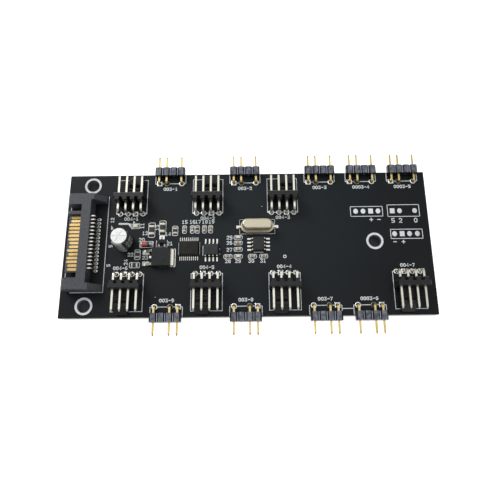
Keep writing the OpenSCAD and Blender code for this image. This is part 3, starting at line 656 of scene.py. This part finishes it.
# Strokes of each sign in a box 0.6 wide and 1 high
DIGITS = {
    "0": [[(0, 0.2), (0.2, 0), (0.4, 0), (0.6, 0.2), (0.6, 0.8), (0.4, 1), (0.2, 1), (0, 0.8),
           (0, 0.2)]],
    "1": [[(0.1, 0.8), (0.3, 1), (0.3, 0)], [(0.1, 0), (0.5, 0)]],
    "2": [[(0, 0.8), (0.2, 1), (0.4, 1), (0.6, 0.8), (0.6, 0.6), (0, 0), (0.6, 0)]],
    "3": [[(0, 1), (0.6, 1), (0.3, 0.6), (0.6, 0.4), (0.6, 0.15), (0.45, 0), (0.15, 0), (0, 0.15)]],
    "4": [[(0.45, 0), (0.45, 1), (0, 0.3), (0.6, 0.3)]],
    "5": [[(0.6, 1), (0, 1), (0, 0.55), (0.4, 0.55), (0.6, 0.4), (0.6, 0.15), (0.4, 0), (0, 0)]],
    "6": [[(0.5, 1), (0.2, 1), (0, 0.75), (0, 0.2), (0.2, 0), (0.4, 0), (0.6, 0.2), (0.6, 0.35),
           (0.4, 0.55), (0, 0.55)]],
    "7": [[(0, 1), (0.6, 1), (0.2, 0)]],
    "8": [[(0.15, 0.5), (0, 0.7), (0.15, 1), (0.45, 1), (0.6, 0.7), (0.45, 0.5), (0.15, 0.5),
           (0, 0.25), (0.15, 0), (0.45, 0), (0.6, 0.25), (0.45, 0.5)]],
    "9": [[(0.1, 0), (0.4, 0), (0.6, 0.25), (0.6, 0.8), (0.4, 1), (0.2, 1), (0, 0.8), (0, 0.65),
           (0.2, 0.45), (0.6, 0.45)]],
    "-": [[(0.05, 0.5), (0.55, 0.5)]],
    "+": [[(0, 0.5), (0.6, 0.5)], [(0.3, 0.2), (0.3, 0.8)]],
}
SIGN_WIDTH, SIGN_GAP = 0.6, 0.36


def numerals(text, x, y, height=1.0, turn=0, wide=1.0):
    """Strokes of a number or sign, centred at (x, y), turned by degrees and stretched along."""
    at = -(SIGN_WIDTH * len(text) + SIGN_GAP * (len(text) - 1)) / 2
    c, s = math.cos(math.radians(turn)), math.sin(math.radians(turn))
    strokes = []
    for sign in text:
        for stroke in DIGITS[sign]:
            flat = [((u + at) * height * wide, (v - 0.5) * height) for u, v in stroke]
            strokes.append([(x + c * u - s * v, y + s * u + c * v) for u, v in flat])
        at += SIGN_WIDTH + SIGN_GAP
    return strokes


def frame_of(x0, y0, x1, y1, cut=0.0):
    """A closed rectangle as one stroke, with its corners cut by so much."""
    return [(x0 + cut, y0), (x1 - cut, y0), (x1, y0 + cut), (x1, y1 - cut), (x1 - cut, y1),
            (x0 + cut, y1), (x0, y1 - cut), (x0, y0 + cut), (x0 + cut, y0)]


def ring_of(x, y, radius, steps=40):
    """A closed circle as one stroke."""
    angles = [math.tau * k / steps for k in range(steps + 1)]
    return [(x + radius * math.cos(a), y + radius * math.sin(a)) for a in angles]


MOUNTS = [tuple(v * 1000 for v in mount["pos_m"][:2])
          for mount in frame["record"]["mounts"] if mount["kind"] == "bore"]
MOUNT_RING = 2.5
lines("mounting_hole_rings", [ring_of(x, y, MOUNT_RING) for x, y in MOUNTS],
      WIDTH["mounting ring"])

# Fan headers: a box from the pad row outwards, with dashes between the pads
FAN_BOX_HALF = 5.1
FAN_BOX_OUT = 12.3
DASH_CLEAR = 0.95


def fan_header_print(fan):
    """The outline that is printed for one fan header."""
    x, row, side = fan["x"], fan["row"], fan["side"]
    out = row + side * FAN_BOX_OUT
    left, right = x - FAN_BOX_HALF, x + FAN_BOX_HALF
    strokes = [[(left, row), (left, out), (right, out), (right, row)]]
    half_dash = PITCH / 2 - DASH_CLEAR
    for middle in (left, x - PITCH, x, x + PITCH, right):
        strokes.append([(max(middle - half_dash, left), row),
                        (min(middle + half_dash, right), row)])
    return strokes


# Light headers: a line through the pad row and one down each side to the board's edge
LIGHT_BOX_HALF = 5.2
PAD_CLEAR = 1.0
EDGE_CLEAR = 0.25
JOIN_Y = -22.5


def light_header_print(light):
    """The outline that is printed for one light header."""
    x, row, side = light["x"], light["row"], light["side"]
    half = LIGHT_BOX_HALF
    edge = side * (EDGE_Y - EDGE_CLEAR)
    strokes = [[(x + s * half, row), (x + s * half, edge)] for s in (-1, 1)]
    stops = [x - half - PAD_CLEAR] + light["pins"] + [x + half + PAD_CLEAR]
    strokes += [[(a + PAD_CLEAR, row), (b - PAD_CLEAR, row)] for a, b in zip(stops, stops[1:])]
    return strokes


header_strokes = [s for fan in FANS for s in fan_header_print(fan)]
header_strokes += [s for light in LIGHTS for s in light_header_print(light)]
# One line joins the boxes of the sixth and the seventh light header
header_strokes.append([(LIGHTS[6]["x"] + LIGHT_BOX_HALF, JOIN_Y),
                       (LIGHTS[5]["x"] - LIGHT_BOX_HALF, JOIN_Y)])
lines("header_outlines", header_strokes, WIDTH["header"])

# Labels beside the headers: how many pins the header has, a dash and the header's number. How far
# a label stands in from the pad row goes by the number of pins and the side. The keys of the other
# two tables are pins and number: one fan label stands to the left, clear of the capacitor, and
# three light labels have one nought more
LABEL_IN = {4: {1: 1.8, -1: 2.1}, 3: {1: 2.0, -1: 2.1}}
LABEL_HEIGHT, LABEL_STRETCH = 0.95, 1.08
LABEL_SHIFT = {(4, 6): -2.7}
LONG_LABELS = ((3, 4), (3, 5), (3, 6))
labels = []
for headers in (FANS, LIGHTS):
    for i, entry in enumerate(headers):
        pins, side = len(entry["pins"]), entry["side"]
        places = 4 if (pins, i + 1) in LONG_LABELS else 3
        x = entry["x"] + LABEL_SHIFT.get((pins, i + 1), 0)
        y = entry["row"] - side * LABEL_IN[pins][side]
        labels += numerals(f"{pins:0{places}d}-{i + 1}", x, y, LABEL_HEIGHT, wide=LABEL_STRETCH)
lines("header_numbers", labels, WIDTH["label"])

# Chip parts: a printed box round each. It stands off the part's sides by a fixed width, and off
# its ends by a width and a share of the part's length
CHIP_PARTS = [box for kind in ("resistor", "capacitor", "inductor")
              for box in solids(f"chip_{kind}_bodies")]
BOX_SIDE, BOX_END, BOX_END_SHARE, BOX_CUT = 0.32, 0.22, 0.25, 0.3


def chip_part_print(lo, hi):
    """The box that is printed round one chip part."""
    along_x = hi.x - lo.x > hi.y - lo.y
    end = BOX_END + BOX_END_SHARE * max(hi.x - lo.x, hi.y - lo.y)
    mx, my = (end, BOX_SIDE) if along_x else (BOX_SIDE, end)
    return frame_of(lo.x - mx, lo.y - my, hi.x + mx, hi.y + my, cut=BOX_CUT)


# How far a line stands off the side of a part, and how much nearer it is to a part's long sides
SIDE_OFF, LONG_SIDE_SHARE = 0.35, 0.6
part_strokes = [chip_part_print(lo, hi) for lo, hi in CHIP_PARTS]
for node, margin in (("diode_end_caps", 0.45), ("status_light_base", SIDE_OFF)):
    lo, hi = (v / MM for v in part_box(node))
    narrow = margin * LONG_SIDE_SHARE
    part_strokes.append(frame_of(lo.x - margin, lo.y - narrow, hi.x + margin, hi.y + narrow))
# The transistor's line is open at its far side, and reaches past its two near leads
lo, hi = (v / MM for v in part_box("transistor_body"))
left, right, near, far = lo.x - SIDE_OFF, hi.x + SIDE_OFF, lo.y - 1.2, hi.y - 0.2
part_strokes.append([(left, far), (left, near), (right, near), (right, far)])
lo, hi = (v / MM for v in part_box("crystal_base"))
thin_strokes = [frame_of(lo.x - 0.4, lo.y - 0.15, hi.x + 0.3, hi.y + 0.25)]
# Lines along the ends of the chips, between their rows of leads
lo, hi = (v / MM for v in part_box("microcontroller_body"))
thin_strokes += [[(x, lo.y + 0.2), (x, hi.y)] for x in (lo.x - 0.2, hi.x + SIDE_OFF)]
lo, hi = (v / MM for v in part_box("driver_chip_body"))
left, right, dash = lo.x - SIDE_OFF, hi.x + SIDE_OFF, 0.5
part_strokes.append([(left, lo.y + 0.2), (left, hi.y - 0.5)])
thin_strokes += [[(right, y), (right, y + dash)] for y in (lo.y + 0.3, lo.y + 2.1)]
lo, hi = (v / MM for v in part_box("receiver_chip_body"))
near = lo.y - 0.25
part_strokes.append([(lo.x + 0.4, near), (hi.x - 0.5, near)])
lines("part_outlines", part_strokes, WIDTH["part"])
lines("thin_outlines", thin_strokes, WIDTH["thin"])

# Plain two-digit numbers beside the small parts, counted from 11: X, Y and turn of each
FIRST_NUMBER = 11
NUMBER_HEIGHT = 1.08
NUMBER_PLACES = [
    (-35.4, 6.2, 90), (-34.3, 3.6, 0), (-30.3, 5.5, 90), (-26.6, 3.2, 0), (-21.1, 7.4, 0),
    (-18.5, 7.4, 0), (-16.6, 7.4, 0), (-14.3, 7.4, 0), (-12.1, 7.4, 0), (-35.3, 1.3, 0),
    (-25.9, -0.1, 0), (-38.8, -3.8, 0), (-33.9, -4.9, 0), (-40.2, -6.4, 90), (-6, 1.7, 0),
    (-6, -0.1, 0), (-6, -2.5, 0), (-6.5, -6.4, 0), (-3.2, -6.4, 0), (1.2, -6.4, 0), (5.1, -6.4, 0),
]
part_numbers = [s for i, (x, y, turn) in enumerate(NUMBER_PLACES)
                for s in numerals(str(i + FIRST_NUMBER), x, y, NUMBER_HEIGHT, turn)]
# And numbers beside the tails of the plug
PLUG_NUMBERS = (("12", -45.6, 8.3), ("5", -45.6, -0.8), ("5", -45.9, -7.4))
part_numbers += [s for text, x, y in PLUG_NUMBERS for s in numerals(text, x, y, turn=90)]
lines("part_numbers", part_numbers, WIDTH["number"])

# Two specks of ink and the ring of a plated hole
lines("print_specks", [[(-30.0, -18.2), (-29.95, -18.2)], [(5.0, 12.7), (5.05, 12.7)]],
      WIDTH["speck"])
lines("plated_hole_ring", [ring_of(12.3, -5.0, 0.45, steps=20)], WIDTH["hole ring"])

# Three printed boxes of test points near the right end. Each has the corners of its box, the Y of
# its row, the X of its points, and which of them, counted from 0, is the square one
POINT_BOXES = [
    {"box": (35.0, 8.7, 45.8, 12.2), "row": 10.55, "points": (36.75, 39.25, 41.8, 44.3),
     "square": 2},
    {"box": (47.5, 8.5, 58.2, 12.7), "row": 10.55, "points": (49.1, 51.6, 56.7), "square": 0},
    {"box": (47.9, 0.7, 58.5, 3.95), "row": 2.4, "points": (49.2, 51.7, 54.2, 56.8), "square": 1},
]
lines("point_boxes", [frame_of(*entry["box"]) for entry in POINT_BOXES], WIDTH["point box"])
# The signs under the boxes: what each is, its place and its height
POINT_SIGNS = (("+", 41.8, 7.5, 1.7), ("-", 44.4, 7.5, 1.9), ("5", 49.1, 7.1, 1.4),
               ("2", 51.6, 7.1, 1.4), ("0", 56.7, 7.1, 1.4), ("-", 49.1, -0.4, 1.9),
               ("+", 51.9, -0.4, 1.7))
lines("point_signs", [s for sign in POINT_SIGNS for s in numerals(*sign)], WIDTH["point sign"])

# Power plug: lines along its mouth, its near side and its back. Capacitor: a bar and corner marks
PLUG_LO, PLUG_HI = (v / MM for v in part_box("power_plug_housing"))
mouth, near, back = PLUG_LO.x - 0.55, PLUG_LO.y - 0.18, PLUG_HI.x + 0.25
lines("plug_outline", [[(back, 16.8), (back, near)], [(-EDGE_X + 3.2, near), (back, near)],
                       [(mouth, 15.6), (mouth, -15.6)]], WIDTH["plug"])
lines("capacitor_bar", [[(-43.2, 7.0), (-40.2, 7.0)]], WIDTH["capacitor bar"])
triangle = plate("triangle", [(-0.5, -0.5), (0.5, -0.5), (-0.5, 0.5)], -1 / 3, 2 / 3)
repeats("capacitor_corners", triangle,
        [(-39.8, 6.3, TOP, 180, (1.1, 1.6, INK_T)), (-45.3, 5.7, TOP, 0, (1.1, 1.6, INK_T)),
         (-38.5, 7.5, TOP, 135, (0.9, 0.9, INK_T))], "print", "solder_mask")


# Pads and solder

# Widths of the pads. The holes in the ringed ones are in pad widths
FAN_PAD, LIGHT_PAD, SQUARE_PAD = 1.85, 2.0, 1.8
CONTACT_PAD, POINT_PAD = (1.6, 1.12), (1.6, 1.8)
PAD_HOLE, CONTACT_HOLE = 0.28, 0.2
PAD_T, RING_T = 0.05, 0.12
# The solder in a hole: its width, its height, and how deep it lies under the top face
COLLAR, CONTACT_COLLAR = 1.0, 0.8
COLLAR_T, COLLAR_DEEP = 0.3, 0.9

ROUND = turned("round", [(0.5, -SUNK), (0.5, 0.4), (0.42, 0.6)], 24)
RING = ring_pad("ring", lambda angle: 0.5, PAD_HOLE)
CONTACT_RING = ring_pad("contact_ring", lambda angle: 0.5, CONTACT_HOLE)
SQUARE_RING = ring_pad("square_ring", lambda angle: 0.5 / max(abs(math.cos(angle)),
                                                              abs(math.sin(angle))), PAD_HOLE)
BLOCK = plate("block", [(-0.5, -0.5), (0.5, -0.5), (0.5, 0.5), (-0.5, 0.5)], -SUNK, 1 - SUNK)


def on_top(x, y, along_x, along_y, thick=PAD_T):
    """The place of an unturned pad on the board's top face."""
    return x, y, TOP, 0, (along_x, along_y, thick)


def in_hole(x, y, width):
    """The place of the solder in one pad's hole."""
    return x, y, TOP - COLLAR_DEEP, 0, (width, width, COLLAR_T)


def fillet_profile(outer, inner, steps=6):
    """Radius and height of solder that climbs a lead in a hollow curve, from 0 to 1 in height."""
    return [(inner + (outer - inner) * (1 - math.sin(math.pi / 2 * k / steps)),
             1 - math.cos(math.pi / 2 * k / steps)) for k in range(steps + 1)]


# Each cone starts a tenth of its height behind its place, inside the board
cone_profile = [(0.5, -0.1)] + fillet_profile(0.5, 0.24)
CONE, CONE_DOWN = (turned(name, [(r, z * way) for r, z in cone_profile], 20)
                   for name, way in (("cone", 1), ("cone_down", -1)))

# The third pad of a fan header is square. A light header has a square pad, a dull one and a round
tails = []
round_pads, square_pads, dull_pads, joints = [], [], [], []
FAN_PADS = [(pads, FAN_PAD) for pads in (round_pads, round_pads, square_pads, round_pads)]
LIGHT_PADS = [(square_pads, SQUARE_PAD), (dull_pads, LIGHT_PAD), (round_pads, LIGHT_PAD)]
for headers, kinds in ((FANS, FAN_PADS), (LIGHTS, LIGHT_PADS)):
    for entry in headers:
        for x, (pads, width) in zip(entry["pins"][::entry["side"]], kinds):
            tails.append((x, entry["row"]))
            pads.append(on_top(x, entry["row"], width, width, RING_T))
            joints.append(in_hole(x, entry["row"], COLLAR))

HALF_TAIL = 0.15
CONTACTS = [(hi.x - HALF_TAIL, (lo.y + hi.y) / 2) for lo, hi in solids("power_plug_contacts")]
CAN_LEADS = [((lo.x + hi.x) / 2, (lo.y + hi.y) / 2) for lo, hi in solids("capacitor_leads")]
contact_pads = [on_top(x, y, *CONTACT_PAD, RING_T) for x, y in CONTACTS]
joints += [in_hole(x, y, CONTACT_COLLAR) for x, y in CONTACTS]

# The underside has a pad and a solder cone round every tail. Each line has the tails, the widths
# of their pads, and the widths and the height of their cones
UNDERSIDE = ((tails, (FAN_PAD, FAN_PAD), (1.6, 1.6, 1.0)),
             (CONTACTS, (1.7, 1.0), (1.3, 0.9, 0.8)),
             (CAN_LEADS, (1.7, 1.7), (1.5, 1.5, 0.9)))
under = [(x, y, UNDER, 0, (*pad, PAD_T)) for places, pad, _ in UNDERSIDE for x, y in places]
cones = [(x, y, UNDER, 0, cone) for places, _, cone in UNDERSIDE for x, y in places]
repeats("pads_round", RING, round_pads, "solder", "lead_tin", smooth=True)
repeats("pads_contact", CONTACT_RING, contact_pads, "solder", "lead_tin", smooth=True)
repeats("pads_square", SQUARE_RING, square_pads, "solder", "lead_tin", smooth=True)
repeats("pads_dull", RING, dull_pads, "dull", "lead_tin", smooth=True)
repeats("pads_under", ROUND, under, "solder", "lead_tin")
repeats("solder_top", CONE, joints, "solder", "lead_tin", smooth=True)
repeats("solder_under", CONE_DOWN, cones, "solder", "lead_tin", smooth=True)

# The bare points in the printed boxes
points = [((x, entry["row"]), k == entry["square"]) for entry in POINT_BOXES
          for k, x in enumerate(entry["points"])]
for name, shape, wanted in (("points_round", ROUND, False), ("points_square", BLOCK, True)):
    repeats(name, shape, [on_top(*place, *POINT_PAD) for place, square in points
                          if square == wanted], "levelled", "lead_tin")


def foot_places(node, across_x, wider=0.12, length=1.25, beyond=0.4):
    """Surface pads under the feet of a chip's leads, which reach out beyond them."""
    lo, hi = (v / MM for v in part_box(node))
    inward = length / 2 - beyond
    places = []
    for low, high in solids(node):
        x, y = (low.x + high.x) / 2, (low.y + high.y) / 2
        if across_x:
            y = low.y + inward if y < (lo.y + hi.y) / 2 else high.y - inward
            places.append(on_top(x, y, high.x - low.x + wider, length))
        else:
            x = low.x + inward if x < (lo.x + hi.x) / 2 else high.x - inward
            places.append(on_top(x, y, length, high.y - low.y + wider))
    return places


bright = foot_places("microcontroller_leads", True, wider=-0.06, beyond=0.75)
bright += foot_places("driver_chip_leads", True, wider=0.05, beyond=0.85)
bright += foot_places("receiver_chip_leads", False, beyond=0.75)
dull = foot_places("transistor_leads", True)
# The transistor's far lead has a wider pad
lo, hi = (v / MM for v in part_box("transistor_leads"))
bright.append(on_top((lo.x + hi.x) / 2, hi.y + 0.3, 1.75, 1.2))
# Solder creeps out round the ends of the chip parts
CREEP = 0.25
for lo, hi in solids("chip_end_caps"):
    dull.append(on_top((lo.x + hi.x) / 2, (lo.y + hi.y) / 2,
                       hi.x - lo.x + CREEP, hi.y - lo.y + CREEP))
# The regulator's tab lies on a pad whose right rim shows as a thin bright line, which turns in
# at both ends. Its two leads have pads of their own
TAB_PAD, TAB_RIM, RIM_END, LEAD_PAD = (5.1, 6.3), 0.22, 1.0, (2.3, 1.4)
lo, hi = (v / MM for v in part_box("regulator_lead_frame"))
middle, tall = (lo.y + hi.y) / 2, TAB_PAD[1]
dull.append(on_top(hi.x - 2.5, middle, *TAB_PAD))
bright.append(on_top(hi.x + 0.5, middle, TAB_RIM, tall))
bright += [on_top(hi.x + 0.1, middle + s * (tall - TAB_RIM) / 2, RIM_END, TAB_RIM)
           for s in (-1, 1)]
dull += [on_top(lo.x + 0.5, y, *LEAD_PAD) for y in (lo.y + 0.8, hi.y - 0.8)]
# The crystal and the diode have a pad at each end
lo, hi = (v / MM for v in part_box("crystal_leads"))
bright += [on_top(x, (lo.y + hi.y) / 2, 0.9, 1.0) for x in (lo.x - 0.1, hi.x + 0.1)]
lo, hi = (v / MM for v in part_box("diode_end_caps"))
dull += [on_top(x, (lo.y + hi.y) / 2, 0.9, 1.5) for x in (lo.x, hi.x)]
repeats("surface_pads", BLOCK, bright, "solder", "lead_tin")
repeats("crept_pads", BLOCK, dull, "creep", "lead_tin")


# The webs at the bottom of each strip's grooves: low ridges between neighbouring places
WEB = (0.26, 2.75, 0.14)
WEB_DEEP = 0.46
webs = []
for i, light in enumerate(LIGHTS):
    lo, hi = (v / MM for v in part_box(f"light_header_{i + 1}_housing"))
    webs += [(light["x"] + k * PITCH, (lo.y + hi.y) / 2, hi.z - WEB_DEEP, 0, WEB)
             for k in (-1, 0, 1)]
# Their pale colour is a painted glint in the grooves
repeats("strip_webs", BLOCK, webs, "web", "strip_plastic")


# Stage

FLOOR_HALF = 3.0
FLOOR_LIFT = 0.9
UNDER_BOARD_LIGHT = 0.6
# The floor's painted shadow fades from dark to white between these distances from the board's
# outline
SHADE_FROM, SHADE_TO = -0.35, 0.1
ROOM_LIGHT, BACKDROP = 0.36, 1.0


def floor_finish():
    """A plain white floor. It keeps its shadow, and it looks white to the camera and in metal.
    Under the board it has a painted shadow, dark grey with no lift for the camera, and there it
    glows for all other rays, which passes on the room's light to the board's underside."""
    material = bpy.data.materials.new("white_floor")
    tree = empty_tree(material)
    place = add_node(tree, "ShaderNodeTexCoord").outputs["Object"]
    inward = add_node(tree, "ShaderNodeVectorMath", {"operation": "ABSOLUTE"}, {0: place})
    beyond = add_node(tree, "ShaderNodeVectorMath", {"operation": "SUBTRACT"},
                      {0: inward.outputs[0], 1: (EDGE_X * MM, EDGE_Y * MM, 0.0)})
    ends = add_node(tree, "ShaderNodeSeparateXYZ", inputs={0: beyond.outputs[0]})
    outside = add_node(tree, "ShaderNodeMath", {"operation": "MAXIMUM"},
                       {0: ends.outputs["X"], 1: ends.outputs["Y"]})
    clear_of_board = add_node(tree, "ShaderNodeMapRange", inputs={
        "Value": outside.outputs[0], "From Min": SHADE_FROM * MM, "From Max": SHADE_TO * MM})
    # Painted shadow: the floor is coloured dark grey under the board
    shade = add_node(tree, "ShaderNodeMix", {"data_type": "RGBA"}, {
        FACTOR: clear_of_board.outputs["Result"], FIRST: "#5A5B5D", SECOND: "#E8E8E8"})
    matt = add_node(tree, "ShaderNodeBsdfDiffuse", inputs={"Color": shade.outputs[MIXED]})
    path = add_node(tree, "ShaderNodeLightPath")
    mirrored = add_node(tree, "ShaderNodeMath", {"operation": "MAXIMUM"},
                        {0: path.outputs["Is Camera Ray"], 1: path.outputs["Is Glossy Ray"]})
    seen = add_node(tree, "ShaderNodeMath", {"operation": "MAXIMUM"},
                    {0: mirrored.outputs[0], 1: path.outputs["Is Transmission Ray"]})
    open_lift = add_node(tree, "ShaderNodeMath", {"operation": "MULTIPLY"},
                         {0: seen.outputs[0], 1: FLOOR_LIFT})
    passed_on = add_node(tree, "ShaderNodeMapRange", inputs={
        "Value": path.outputs["Is Camera Ray"], "To Min": UNDER_BOARD_LIGHT, "To Max": 0.0})
    lift = add_node(tree, "ShaderNodeMapRange", inputs={
        "Value": clear_of_board.outputs["Result"], "To Min": passed_on.outputs["Result"],
        "To Max": open_lift.outputs[0]})
    glow = add_node(tree, "ShaderNodeEmission", inputs={
        "Color": "#FFFFFF", "Strength": lift.outputs["Result"]})
    both = add_node(tree, "ShaderNodeAddShader", inputs={0: matt.outputs[0], 1: glow.outputs[0]})
    clear = add_node(tree, "ShaderNodeBsdfTransparent")
    face = add_node(tree, "ShaderNodeNewGeometry")
    one_sided = add_node(tree, "ShaderNodeMixShader", inputs={
        0: face.outputs["Backfacing"], 1: both.outputs[0], 2: clear.outputs[0]})
    add_node(tree, "ShaderNodeOutputMaterial", inputs={"Surface": one_sided.outputs[0]})
    return material


floor_mesh = bpy.data.meshes.new("floor")
floor_mesh.from_pydata([(x * FLOOR_HALF, y * FLOOR_HALF, 0)
                        for x, y in ((-1, -1), (1, -1), (1, 1), (-1, 1))], [], [(0, 1, 2, 3)])
floor_mesh.materials.append(floor_finish())
floor = bpy.data.objects.new("floor", floor_mesh)
scene.collection.objects.link(floor)

world = bpy.data.worlds.new("studio")
world_tree = empty_tree(world)
sky_path = add_node(world_tree, "ShaderNodeLightPath")
sky_level = add_node(world_tree, "ShaderNodeMapRange", inputs={
    "Value": sky_path.outputs["Is Camera Ray"], "To Min": ROOM_LIGHT, "To Max": BACKDROP})
sky = add_node(world_tree, "ShaderNodeBackground", inputs={
    "Color": "#FFFFFF", "Strength": sky_level.outputs["Result"]})
add_node(world_tree, "ShaderNodeOutputWorld", inputs={"Surface": sky.outputs[0]})
scene.world = world


def lamp(name, place, size, power):
    """A soft square lamp at a place in metres, aimed at the board."""
    light = bpy.data.lights.new(name, "AREA")
    light.size = size
    light.energy = power
    lamp_object = bpy.data.objects.new(name, light)
    lamp_object.location = place
    lamp_object.rotation_mode = "QUATERNION"
    lamp_object.rotation_quaternion = (-Vector(place)).to_track_quat("-Z", "Y")
    scene.collection.objects.link(lamp_object)


# The key lamp stands to the far left, the top lamp over the board, and the fill lamp near right
lamp("key_lamp", (-0.6, 0.6, 0.65), 0.45, 5.4)
lamp("top_lamp", (-0.05, 0.28, 0.96), 0.9, 1.8)
lamp("fill_lamp", (0.6, -0.5, 0.6), 0.7, 2.0)

# Camera: worked out from the board's corners and the pitch of its header pads in the photograph.
# Its place is in millimetres, its turns about its own X, Y and Z are in degrees, and its focal
# length is a share of the picture's width
CAMERA_PLACE = (1.492, -46.885, 158.732)
CAMERA_TURN = (15.849, 0.239, -0.664)
FOCAL_SHARE = 488.07 / 500
camera_data = bpy.data.cameras.new("camera")
camera_data.sensor_width = 36.0
camera_data.lens = FOCAL_SHARE * camera_data.sensor_width
camera_data.clip_start = 0.01
camera = bpy.data.objects.new("camera", camera_data)
turn = Matrix.Identity(4)
for degrees, axis in zip(CAMERA_TURN, "XYZ"):
    turn = turn @ Matrix.Rotation(math.radians(degrees), 4, axis)
camera.matrix_world = Matrix.Translation(Vector(CAMERA_PLACE) * MM) @ turn
scene.collection.objects.link(camera)
scene.camera = camera
scene.view_settings.view_transform = "Standard"
